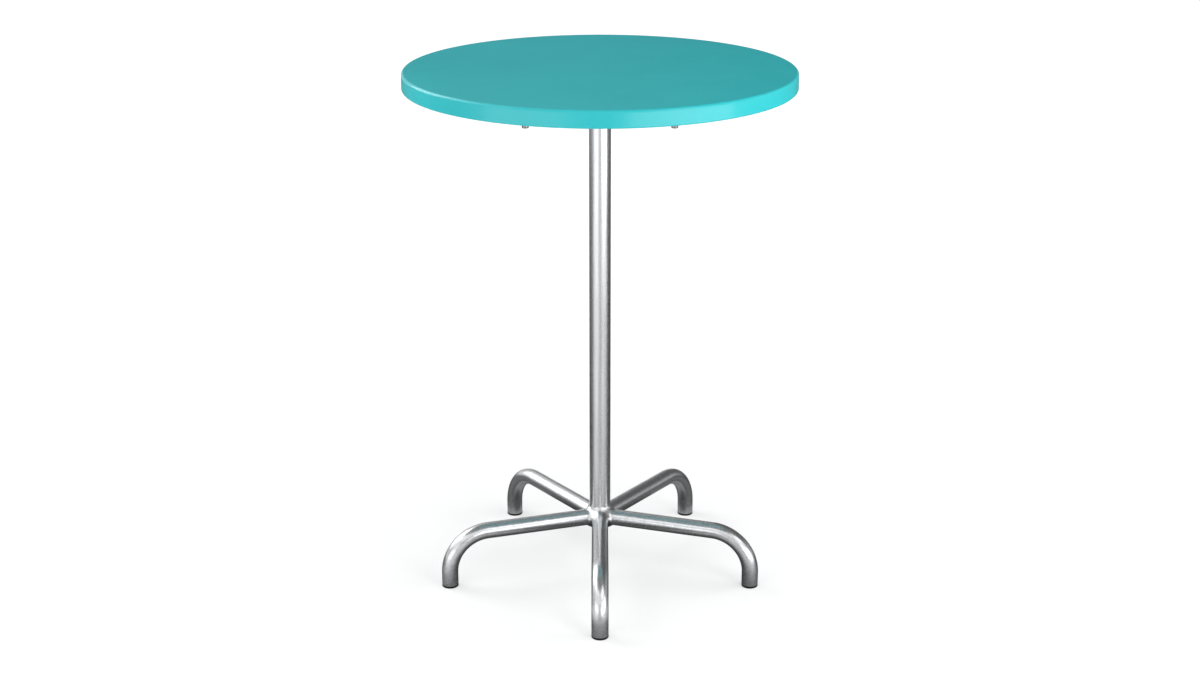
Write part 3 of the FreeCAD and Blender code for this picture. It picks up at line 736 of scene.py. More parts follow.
@dataclass
class Pedestal:
    """Column, five bent legs, the weld that joins them and the foot glides.

    Sizes are in millimetres and directions in degrees. The weld is covered by cells, and the values that
    begin with settle say how its vertices are moved onto its surface.
    """

    column_radius: float = 22.5
    column_bore: float = 20.5
    column_bottom: float = 100.0
    column_bottom_round: float = 0.4
    column_top: float = 988.0
    column_top_round: float = 0.2
    column_segments: int = 128
    leg_radius: float = 17.5
    leg_height: float = 117.5
    leg_segments: int = 80
    run_shares: tuple[float, ...] = (0.0, 0.25, 0.5, 0.75, 0.97)
    bend_radius: float = 85.0
    bend_steps: int = 48
    foot_circle: float = 338.0
    drop_margin: float = 2.0
    drop_middle: float = 12.0
    tube_end: float = 4.4
    tube_lip: float = 0.4
    glide_inset: float = 6.0
    glide_chamfer: float = 0.8
    glide_round: float = 0.3
    glide_rim_round: float = 0.15
    fillet: float = 13.5
    toe: float = 0.22
    weld_edge: float = 0.6
    weld_reach: float = 50.0
    weld_bottom: float = 97.0
    weld_top: float = 152.0
    weld_bore_gap: float = 0.3
    weld_crease: float = 50.0
    cell: float = 0.8
    cell_offset: float = 0.013
    cell_margins: tuple[float, float, float] = (2.0, 2.0, 3.0)
    settle_probe: float = 0.02
    settle_rounds: int = 8
    settle_share: float = 0.8
    settle_least_slope: float = 0.05
    legs: tuple[tuple[str, float], ...] = (("front", -90.0), ("front_right", -18.0), ("rear_right", 54.0),
                                           ("rear_left", 126.0), ("front_left", 198.0))

    def column(self) -> Surface:
        """Turns the wall of the column tube about its axis.

        Returns:
            The closed tube.
        """
        profile = rounded([
            (self.column_bore, self.column_bottom, self.column_bottom_round),
            (self.column_radius, self.column_bottom, self.column_bottom_round),
            (self.column_radius, self.column_top, self.column_top_round),
            (self.column_bore, self.column_top, self.column_top_round)], steps=3, closed=True)
        return turned(profile, self.column_segments, closed=True)

    def leg(self, degrees: float) -> Surface:
        """Sweeps a circle out of the column, round the bend and down to the foot.

        Each line along the tube starts where it meets the column or the half-way plane to the next leg. The
        middle line runs straight out, follows a quarter circle and then drops. The last ring is drawn in, as
        the broken edge of the tube.

        Args:
            degrees: Direction of the leg.

        Returns:
            The closed leg.
        """
        around = np.linspace(0, 2 * math.pi, self.leg_segments, endpoint=False)
        side, up = self.leg_radius * np.sin(around), self.leg_radius * np.cos(around)
        half_gap = math.pi / len(self.legs)
        start = np.maximum(np.sqrt(self.column_radius**2 - side**2), np.abs(side) / math.tan(half_gap))
        straight = self.foot_circle - self.bend_radius
        run = start + np.array(self.run_shares)[:, None] * (straight - start)
        turn = np.linspace(0, math.pi / 2, self.bend_steps + 1)[:, None]
        bend_bottom = self.leg_height - self.bend_radius
        bend = straight + (self.bend_radius + up) * np.sin(turn)
        bend_height = bend_bottom + (self.bend_radius + up) * np.cos(turn)
        levels = (bend_bottom - self.drop_margin, self.drop_middle, self.tube_end + self.tube_lip,
                  self.tube_end)
        drop_height = np.array(levels)[:, None]
        drawn_in = np.ones((len(levels), 1))
        drawn_in[-1] = (self.leg_radius - self.tube_lip) / self.leg_radius
        drop = self.foot_circle + up * drawn_in
        out = np.concatenate([run, bend, drop])
        height = np.concatenate([np.broadcast_to(self.leg_height + up, run.shape), bend_height,
                                 np.broadcast_to(drop_height, drop.shape)])
        across = np.concatenate([np.broadcast_to(side, (len(run) + len(bend), len(side))), side * drawn_in])
        return skin(swung(out, across, height, degrees))

    def weld_distance(self, points: Array) -> Array:
        """Gives a number that is negative inside the weld and positive outside.

        With the distance d to each tube's surface, its share is u = fillet - d where that is positive. The
        weld's surface is where the root of the sum of all u squared equals the fillet, which rolls a circle
        along every corner between the tubes. All of it is sunk a little, so that it leaves the tubes in a
        clear line. The column's bore and the ends are cut off with rounded edges.

        Args:
            points: Points, three numbers each.

        Returns:
            One number for each point.
        """
        across, height = points[..., :2], points[..., 2]
        radius = np.linalg.norm(across, axis=-1)
        shares = np.maximum(self.fillet - (radius - self.column_radius), 0.0) ** 2
        for _, degrees in self.legs:
            angle = math.radians(degrees)
            along = across[..., 0] * math.cos(angle) + across[..., 1] * math.sin(angle)
            side = across[..., 1] * math.cos(angle) - across[..., 0] * math.sin(angle)
            away = np.sqrt(np.minimum(along, 0.0) ** 2 + side**2 + (height - self.leg_height) ** 2)
            shares = shares + np.maximum(self.fillet - (away - self.leg_radius), 0.0) ** 2
        blend = self.fillet - np.sqrt(shares) + self.toe
        bore = self.column_bore + self.weld_bore_gap
        ends = np.maximum(np.maximum(radius - self.weld_reach, bore - radius),
                          np.maximum(height - self.weld_top, self.weld_bottom - height))
        corner = np.hypot(np.maximum(blend + self.weld_edge, 0.0), np.maximum(ends + self.weld_edge, 0.0))
        return np.minimum(np.maximum(blend, ends), -self.weld_edge) + corner

    def weld(self) -> Surface:
        """Covers the weld with quads.

        A box of cells is laid over the weld. Each cell that its surface crosses gets one vertex, which is
        moved onto the surface along the slope, and each cell edge that it crosses gets the quad of the four
        cells round it. The box is offset a little, so that no cell corner lies on a plane of the weld.

        Returns:
            The closed weld.
        """
        margins = np.array(self.cell_margins)
        low = np.array([-self.weld_reach, -self.weld_reach, self.weld_bottom]) - margins + self.cell_offset
        high = np.array([self.weld_reach, self.weld_reach, self.weld_top]) + margins
        axes = [np.arange(start, end, self.cell) for start, end in zip(low, high)]
        inside = self.weld_distance(np.stack(np.meshgrid(*axes, indexing="ij"), axis=-1)) < 0
        windows = np.lib.stride_tricks.sliding_window_view(inside, (2, 2, 2)).sum(axis=(3, 4, 5))
        crossed = (windows > 0) & (windows < 8)
        index = np.full(crossed.shape, -1)
        index[crossed] = np.arange(int(crossed.sum()))
        points = self.settled(np.argwhere(crossed) * self.cell + low + self.cell / 2)
        orders = [np.roll([0, 1, 2], -axis) for axis in range(3)]
        quads = [self.crossings(np.transpose(inside, order), np.transpose(index, order)) for order in orders]
        return Surface(points, np.concatenate(quads), NO_TRIANGLES).outward()

    def settled(self, points: Array) -> Array:
        """Moves points onto the weld's surface along its slope, in small steps.

        Args:
            points: Middles of the crossed cells.

        Returns:
            The moved points.
        """
        steps = np.eye(3) * self.settle_probe
        limit = self.cell / 2
        for _ in range(self.settle_rounds):
            value = self.weld_distance(points)
            rise = [self.weld_distance(points + step) - self.weld_distance(points - step) for step in steps]
            slope = np.stack(rise, axis=-1) / (2 * self.settle_probe)
            size = np.maximum((slope**2).sum(axis=-1), self.settle_least_slope)
            points = points - np.clip(value / size, -limit, limit)[:, None] * slope * self.settle_share
        return points

    @staticmethod
    def crossings(inside: NDArray[np.bool_], index: Faces) -> Faces:
        """Finds the cell edges along the first axis that the surface crosses.

        Args:
            inside: Which corners are inside.
            index: Vertex of each cell.

        Returns:
            The quad round each crossed edge, turned outward.
        """
        near, far = inside[:-1, 1:-1, 1:-1], inside[1:, 1:-1, 1:-1]
        at = np.argwhere(near != far)
        first, second, third = at[:, 0], at[:, 1], at[:, 2]
        quads = np.stack([index[first, second, third], index[first, second + 1, third],
                          index[first, second + 1, third + 1], index[first, second, third + 1]], axis=-1)
        leaving = near[first, second, third]
        return np.where(leaving[:, None], quads, quads[:, ::-1])

    def glide(self, degrees: float) -> Surface:
        """Turns the flange of a foot glide about its leg's axis.

        Args:
            degrees: Direction of the leg.

        Returns:
            The closed flange.
        """
        angle = math.radians(degrees)
        middle = (self.foot_circle * math.cos(angle), self.foot_circle * math.sin(angle))
        radius, chamfer, inner = self.leg_radius, self.glide_chamfer, self.leg_radius - self.glide_inset
        profile = rounded([
            (inner, 0.0, 0.0), (radius - chamfer, 0.0, self.glide_round), (radius, chamfer, self.glide_round),
            (radius, self.tube_end, self.glide_rim_round), (inner, self.tube_end, 0.0)], steps=4)
        return turned(profile, self.leg_segments, middle=middle)

    def build(self) -> None:
        """Builds the column, the legs, the weld and the glides."""
        show("column", self.column(), COLUMN_ZINC, Body.PEDESTAL, ["column_tube"])
        show("hub_fillets", self.weld(), WELD_ZINC, Body.PEDESTAL, ["hub_weld"], self.weld_crease)
        for name, degrees in self.legs:
            show(f"bent_{name}", self.leg(degrees), TUBE_ZINC, Body.PEDESTAL, [f"leg_{name}"])
            show(f"glide_{name}", self.glide(degrees), BLACK_PLASTIC, Body.PEDESTAL,
                 [f"foot_glide_{name}"])


@dataclass
class Beads:
    """Rippled weld beads of the hinge frame and the column head.

    Sizes are in millimetres. The lag is how far a ripple's middle trails its edges, as a share of the pitch,
    and the bite is how deep a bead's root lies in its corner. The column's sizes are the pedestal's.
    """

    pedestal: Pedestal
    frame_size: float = 3.5
    head_size: float = 4.0
    pitch: float = 2.3
    ripple: float = 0.11
    lag: float = 0.45
    bite: float = 0.15
    step: float = 0.4
    section_steps: int = 8
    end_length: float = 2.5
    end_least: float = 0.04
    collar_segments: int = 360
    crease: float = 60.0
    rail_side: float = 130.0
    channel_half: float = 59.98
    channel_bend: float = 7.0
    channel_top: float = 1086.0
    channel_depth: float = 24.0
    web_under: float = 1082.0
    quadrant_side: float = 35.0
    quadrant_half: float = 28.28
    cheek_side: float = 24.0
    cheek_half: float = 25.0
    plate_top: float = 994.0

    def quarter(self) -> Array:
        """Gives the angles round a bead's section, from one side of the corner to the other."""
        return np.linspace(0.0, math.pi / 2, self.section_steps + 1)

    def swell(self, along: Array, turn: Array) -> Array:
        """Gives the bead's size along its run as a share of the full size.

        Each pass of the torch leaves a scallop, the bare sine of the run over the pitch, and the scallop's
        middle trails behind its edges by a share of the sine of twice the turn.

        Args:
            along: Distance along the run.
            turn: Angle round the bead's section.

        Returns:
            The share for each distance and angle.
        """
        pass_at = along[:, None] / self.pitch - self.lag * np.sin(2 * turn)[None, :]
        return 1.0 - self.ripple * (1.0 - np.abs(np.sin(math.pi * pass_at)))

    def straight(self, corner: Place, legs: tuple[Array, Array], run: Array) -> Surface:
        """Carries a quarter circle along an inside corner, rippled and rounded off at both ends.

        Args:
            corner: Where the run starts.
            legs: The two sides of the section.
            run: The run, from end to end.

        Returns:
            The closed bead.
        """
        length = float(np.linalg.norm(run))
        along = np.linspace(0.0, length, int(length / self.step) + 2)
        turn = self.quarter()
        end = np.clip(np.minimum(along, length - along) / self.end_length, self.end_least, 1.0)
        size = self.swell(along, turn) * np.sqrt(1.0 - (1.0 - end) ** 2)[:, None]
        section = np.cos(turn)[:, None] * legs[0] + np.sin(turn)[:, None] * legs[1]
        line = np.array(corner) + along[:, None] / length * run
        root = line - self.bite * (legs[0] / np.linalg.norm(legs[0]) + legs[1] / np.linalg.norm(legs[1]))
        return skin(np.concatenate([root[:, None, :], line[:, None, :] + size[..., None] * section], axis=1))

    def collar(self) -> Surface:
        """Carries the same section round the top of the column, with a whole number of ripples.

        Returns:
            The closed ring.
        """
        around = np.linspace(0.0, 2 * math.pi, self.collar_segments, endpoint=False)
        turn = self.quarter()
        radius = self.pedestal.column_radius
        circle = 2 * math.pi * radius
        even = circle / round(circle / self.pitch) / self.pitch
        size = self.head_size * self.swell(around * radius / even, turn)
        root = ((0, 0), (1, 0))
        out = radius + np.pad(size * np.cos(turn), root, constant_values=-self.bite)
        drop = np.pad(size * np.sin(turn), root, constant_values=-self.bite)
        height = self.pedestal.column_top - drop
        rings = np.stack([out * np.cos(around)[:, None], out * np.sin(around)[:, None], height], axis=-1)
        return skin(rings, closed=True)

    def build(self) -> None:
        """Lays the beads of the frame and of the column head."""
        across, along, up = np.eye(3)
        frame_beads: list[Surface] = []
        head_beads = [self.collar()]
        flat = self.channel_half - self.channel_bend
        for side in (-1.0, 1.0):
            rail, quadrant, cheek = side * self.rail_side, side * self.quadrant_side, side * self.cheek_side
            inward, down = -side * self.frame_size * across, -self.frame_size * up
            frame_beads.append(self.straight((rail, -flat, self.web_under), (inward, down), 2 * flat * along))
            frame_beads.append(self.straight((quadrant, -self.quadrant_half, self.web_under),
                                             (-inward, down), 2 * self.quadrant_half * along))
            for end in (-1.0, 1.0):
                corner = (rail, end * self.channel_half, self.channel_top - self.channel_bend)
                legs = (inward, end * self.frame_size * along)
                frame_beads.append(self.straight(corner, legs, (self.channel_bend - self.channel_depth) * up))
            head_beads.append(self.straight((cheek, -self.cheek_half, self.plate_top),
                                            (-side * self.head_size * across, self.head_size * up),
                                            2 * self.cheek_half * along))
        show("frame_beads", Surface.joined(frame_beads), WELD_ZINC, Body.TOP, ["frame_welds"],
             self.crease)
        show("head_beads", Surface.joined(head_beads), WELD_ZINC, Body.PEDESTAL, ["head_weld"],
             self.crease)


@dataclass(frozen=True)
class Batch:
    """Pressed or turned pieces that share a finish.

    Attributes:
        names: Nodes of the batch.
        finish: Their finish.
        slot: Their material slot; not used.
        body: Body that they ride on.
        edge: Width of the rounded edges in millimetres, or 0 where the node itself is shown.
    """

    names: tuple[str, ...]
    finish: Finish
    slot: Slot
    body: Body
    edge: float = 0.0


@dataclass
class Hardware:
    """Rails, hinge plates, fasteners and the clamp lever, with their sharp edges broken.

    Lengths are in millimetres and angles in degrees.
    """

    merge_distance: float = 0.01
    flat_angle: float = 0.4
    edge_angle: float = 40.0
    edge_segments: int = 2
    batches: tuple[Batch, ...] = (
        Batch(("rail_left", "rail_right", "hinge_channel", "quadrant_left", "quadrant_right"),
              PLATE_ZINC, Slot.PLATE, Body.TOP, edge=0.6),
        Batch(("head_base_plate", "head_cheek_left", "head_cheek_right"),
              PLATE_ZINC, Slot.PLATE, Body.PEDESTAL, edge=0.6),
        # The rail screws and washers take the darker zinc, which is painted shade.
        Batch(("rail_screws", "rail_washers"), SCREW_ZINC_PAINTED_SHADE, Slot.FASTENER, Body.TOP, edge=0.3),
        Batch(("hinge_bolt", "hinge_nut", "hinge_washers", "hinge_spacer", "clamp_bolt", "clamp_washers",
               "clamp_spacer"), FASTENER_ZINC, Slot.FASTENER, Body.PEDESTAL, edge=0.3),
        Batch(("clamp_lever",), FASTENER_ZINC, Slot.FASTENER, Body.LEVER, edge=0.4),
        Batch(("lever_grip",), BLACK_PLASTIC, Slot.PLASTIC, Body.LEVER, edge=0.4),
        Batch(("rail_end_caps",), BLACK_PLASTIC, Slot.PLASTIC, Body.TOP, edge=0.5),
        Batch(("threaded_inserts",), BRASS, Slot.BRASS, Body.TOP),
        Batch(("friction_pad_left", "friction_pad_right"), FIBRE, Slot.FIBRE, Body.PEDESTAL),
    )

    def merged(self, name: str) -> bpy.types.Mesh:
        """Copies a node's mesh with its corners joined and its flat faces made whole.

        Args:
            name: Node to copy.

        Returns:
            The copy, shaded smooth between its edges.
        """
        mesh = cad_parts[name].data.copy()
        mesh.name = f"{name}_edged"
        shape = bmesh.new()
        shape.from_mesh(mesh)
        bmesh.ops.remove_doubles(shape, verts=shape.verts, dist=self.merge_distance * MM)
        bmesh.ops.dissolve_limit(shape, angle_limit=math.radians(self.flat_angle), verts=shape.verts,
                                 edges=shape.edges)
        shape.to_mesh(mesh)
        shape.free()
        smooth(mesh)
        return mesh

    def edged(self, name: str, batch: Batch) -> None:
        """Shows a node with rounded edges.

        Args:
            name: Node to show.
            batch: Batch that it belongs to.
        """
        mesh = self.merged(name)
        dress(mesh, batch.finish)
        piece = fix(mesh.name, mesh, batch.body, [name])
        bevel = piece.modifiers.new("broken_edge", "BEVEL")
        bevel.width, bevel.segments = batch.edge * MM, self.edge_segments
        bevel.limit_method, bevel.angle_limit = "ANGLE", math.radians(self.edge_angle)
        bevel.harden_normals = True

    def build(self) -> None:
        """Rounds the edges of each piece, or gives the node itself its finish."""
        for batch in self.batches:
            for name in batch.names:
                if batch.edge:
                    self.edged(name, batch)
                else:
                    dress(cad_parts[name].data, batch.finish)
                LOG.info("%s: %s", name, batch.finish.name)


@dataclass(frozen=True)
class RearGlow:
    """Painted reflection: pattern of the glowing card behind the object, by place across and height in
    metres.

    The card is dim on the right and paler on the left. A dark band crosses it between about a sixth and a
    third of its height, and is weaker on the wings to either side. A bright patch stands low in the middle,
    the upper right corner is shaded, and a soft sheen lies low on the far right. The legs, the rim and the
    top mirror these as painted highlights, a painted sheen and dark bands.

    Attributes:
        fade_at: Places on the right and on the left that the fade runs between.
        fade: Brightness at those places.
        band_at: Places on the right and on the left of the band's middle.
        band: Share of the brightness that the band leaves there.
        band_low: Heights that the band begins between.
        band_high: Heights that the band ends between.
        wing_at: Distances to either side that a wing begins between.
        wing: Share of the brightness that the band leaves on a wing.
        corner_at: Places that the shaded corner begins between.
        corner_high: Heights that it begins between.
        corner: Share of the brightness that it leaves.
        sheen_at: Places that the sheen begins between.
        sheen_high: Heights that it ends between.
        sheen: Its brightness.
        patch_at: Distances to either side that the bright patch ends between.
        patch_high: Heights that it ends between.
        patch: Its brightness.
    """

    fade_at: Span = (0.9, -1.6)
    fade: Span = (0.19, 0.80)
    band_at: Span = (1.0, -1.0)
    band: Span = (0.26, 0.05)
    band_low: Span = (1.2, 1.9)
    band_high: Span = (2.95, 3.5)
    wing_at: Span = (1.3, 2.0)
    wing: float = 0.6
    corner_at: Span = (1.5, 3.0)
    corner_high: Span = (3.8, 4.8)
    corner: float = 0.35
    sheen_at: Span = (4.6, 6.6)
    sheen_high: Span = (2.0, 5.5)
    sheen: float = 0.48
    patch_at: Span = (0.8, 1.5)
    patch_high: Span = (0.9, 1.6)
    patch: float = 1.2

    def material(self) -> bpy.types.Material:
        """Builds the material.

        Returns:
            The material.
        """
        material, graph = new_material("rear_glow")
        axes = graph.add("ShaderNodeSeparateXYZ", {"Vector": graph.place()})
        across, height = axes.outputs["X"], axes.outputs["Z"]
        spread = graph.work_out(Operation.ABSOLUTE, across)
        shade = graph.greatest(graph.remap(across, self.corner_at, (1.0, self.corner)),
                               graph.remap(height, self.corner_high, FALLING))
        above = graph.product(graph.remap(height, self.band_high, UNIT), shade)
        below = graph.remap(height, self.band_low, FALLING)
        wings = graph.remap(spread, self.wing_at, (0.0, self.wing))
        kept = graph.greatest(wings, graph.remap(across, self.band_at, self.band), below, above)
        level = graph.product(graph.remap(across, self.fade_at, self.fade), kept)
        # Painted sheen and highlight: a soft sheen low on the far right and a bright patch low in the middle.
        sheen = graph.product(graph.remap(across, self.sheen_at, (0.0, self.sheen)),
                              graph.remap(height, self.sheen_high, FALLING))
        patch = graph.product(graph.remap(spread, self.patch_at, (self.patch, 0.0)),
                              graph.remap(height, self.patch_high, FALLING))
        graph.set_surface(graph.glow(WHITE, graph.greatest(level, sheen, patch)))
        return material


@dataclass(frozen=True)
class MatGlow:
    """Pattern of the glowing mat under the object, in metres, a painted reflection that only mirrors see.

    It goes by the turn from the front to either side, the distance from the middle, and the distance beside
    the line under the nearest leg. The mat is grey in front, white at the sides and dark behind, and brighter
    further out. It is dark under the legs, a painted shadow that the legs and the column mirror, and dimmer
    on the right. A pale patch lies at the rear, weaker close to the column and under the rear legs, and a
    brighter one round each rear foot; both are painted highlights that the rear legs and feet mirror.

    Attributes:
        stops: Brightness by the share of a half turn from the front.
        level: Strength far out.
        near_level: Strength near the middle.
        level_at: Distances that the strength rises between.
        half_gap: Half the angle between two legs, in degrees.
        under: Share of the strength that is left under a leg, where the painted shadow lies.
        painted_shadow_side: Distances beside a leg that this ends between.
        painted_shadow_out: Distances from the middle that this ends between.
        right: Share of the strength that is left on the right, close by.
        right_at: Places that this begins between.
        right_far: The same share further out.
        right_far_at: Distances that it holds from.
        rear_turn: Turns, in radians, that the rear patches begin between.
        rear: Strength of the pale patch at the rear.
        rear_end: Distances that it ends between.
        rear_out: Distances that it rises between.
        rear_out_shares: Shares of its strength there.
        rear_side: Distances beside a leg that it rises between.
        rear_side_shares: Shares of its strength there.
        foot: Strength of the patch round a rear foot.
        foot_side: Distances beside the leg that it ends between.
        foot_start: Distances from the middle that it begins between.
        foot_end: Distances from the middle that it ends between.
    """

    stops: tuple[Span, ...] = ((0.0, 0.58), (0.05, 0.60), (0.13, 0.97), (0.25, 1.0), (0.33, 0.85),
                               (0.47, 0.22), (0.62, 0.11), (1.0, 0.10))
    level: float = 1.6
    near_level: float = 0.8
    level_at: Span = (0.4, 4.0)
    half_gap: float = 36.0
    under: float = 0.16
    painted_shadow_side: Span = (0.06, 0.20)
    painted_shadow_out: Span = (0.31, 0.46)
    right: float = 0.74
    right_at: Span = (0.0, 0.5)
    right_far: float = 0.86
    right_far_at: Span = (0.8, 3.0)
    rear_turn: Span = (1.75, 2.25)
    rear: float = 2.2
    rear_end: Span = (0.5, 1.0)
    rear_out: Span = (0.06, 0.34)
    rear_out_shares: Span = (0.3, 1.15)
    rear_side: Span = (0.04, 0.18)
    rear_side_shares: Span = (0.3, 1.0)
    foot: float = 3.0
    foot_side: Span = (0.045, 0.065)
    foot_start: Span = (0.285, 0.31)
    foot_end: Span = (0.375, 0.405)

    def material(self) -> bpy.types.Material:
        """Builds the material.

        Returns:
            The material.
        """
        material, graph = new_material("mat_glow")
        place = graph.place()
        axes = graph.add("ShaderNodeSeparateXYZ", {"Vector": place})
        away = graph.length(place)
        forward = graph.work_out(Operation.MULTIPLY, axes.outputs["Y"], -1.0)
        bearing = graph.work_out(Operation.ANGLE, axes.outputs["X"], forward)
        turn = graph.work_out(Operation.ABSOLUTE, bearing)
        from_leg = graph.work_out(Operation.FOLD, turn, math.radians(self.half_gap))
        side = graph.product(graph.work_out(Operation.SINE, from_leg), away)
        greys = [(at, (grey, grey, grey)) for at, grey in self.stops]
        colour = graph.ramp(graph.remap(turn, (0.0, math.pi), UNIT), greys)
        # Painted shadow: the mat goes dark beside the line under each leg, close to the middle.
        clear = graph.greatest(graph.remap(side, self.painted_shadow_side, (self.under, 1.0)),
                               graph.remap(away, self.painted_shadow_out, (self.under, 1.0)))
        right = graph.greatest(graph.remap(axes.outputs["X"], self.right_at, (1.0, self.right)),
                               graph.remap(away, self.right_far_at, (0.0, self.right_far)))
        main = graph.product(clear, graph.remap(away, self.level_at, (self.near_level, self.level)), right)
        # Painted highlights: a pale patch at the rear and a brighter one round each rear foot.
        rear = graph.product(graph.remap(turn, self.rear_turn, (0.0, self.rear)),
                             graph.remap(away, self.rear_end, FALLING),
                             graph.remap(away, self.rear_out, self.rear_out_shares),
                             graph.remap(side, self.rear_side, self.rear_side_shares))
        foot = graph.product(graph.remap(turn, self.rear_turn, (0.0, self.foot)),
                             graph.remap(side, self.foot_side, FALLING),
                             graph.remap(away, self.foot_start, UNIT),
                             graph.remap(away, self.foot_end, FALLING))
        graph.set_surface(graph.glow(colour, graph.greatest(main, rear, foot)))
        return material


@dataclass(frozen=True)
class PlainGlow:
    """Even grey that shines by itself, for a card whose glow is a painted reflection.

    Attributes:
        name: Name of the card that it is for.
        level: Its brightness.
    """

    name: str
    level: float

    def material(self) -> bpy.types.Material:
        """Builds the material.

        Returns:
            The material.
        """
        material, graph = new_material(f"{self.name}_glow")
        graph.set_surface(graph.glow((self.level, self.level, self.level, 1.0), 1.0))
        return material


Glow = RearGlow | MatGlow | PlainGlow


@dataclass(frozen=True)
class Panel:
    """Upright glowing card that only mirrors see, a painted highlight or dark reflection. Sizes in metres.

    Attributes:
        name: Name of the panel.
        ends: Where its two upright edges stand.
        heights: Heights of its lower and upper edges.
        level: Its brightness.
    """

    name: str
    ends: tuple[Span, Span]
    heights: Span
    level: float

    def corners(self) -> Array:
        """Gives the four corners in order."""
        (first, last), (low, high) = self.ends, self.heights
        return np.array([(*first, low), (*last, low), (*last, high), (*first, high)])


@dataclass(frozen=True)
class SoftBox:
    """Rectangular lamp that faces the object. Sizes in metres.

    Attributes:
        name: Name of the lamp.
        place: Its middle.
        size: Its width and height.
        watts: Its power.
        mirrored: Whether metal and gloss show it.
    """

    name: str
    place: Place
    size: Span
    watts: float
    mirrored: bool = False

    def build(self, target: Place) -> None:
        """Hangs the lamp.

        Args:
            target: Point that it faces.
        """
        data = bpy.data.lights.new(self.name, "AREA")
        data.shape, data.energy = "RECTANGLE", self.watts
        data.size, data.size_y = self.size
        lamp = bpy.data.objects.new(self.name, data)
        lamp.location = self.place
        lamp.visible_glossy = self.mirrored
        lamp.visible_camera = False
        aim = np.array(target) - np.array(self.place)
        pitch = math.atan2(math.hypot(aim[0], aim[1]), -aim[2])
        lamp.rotation_euler = (pitch, 0.0, math.atan2(-aim[0], aim[1]))
        bpy.context.scene.collection.objects.link(lamp)


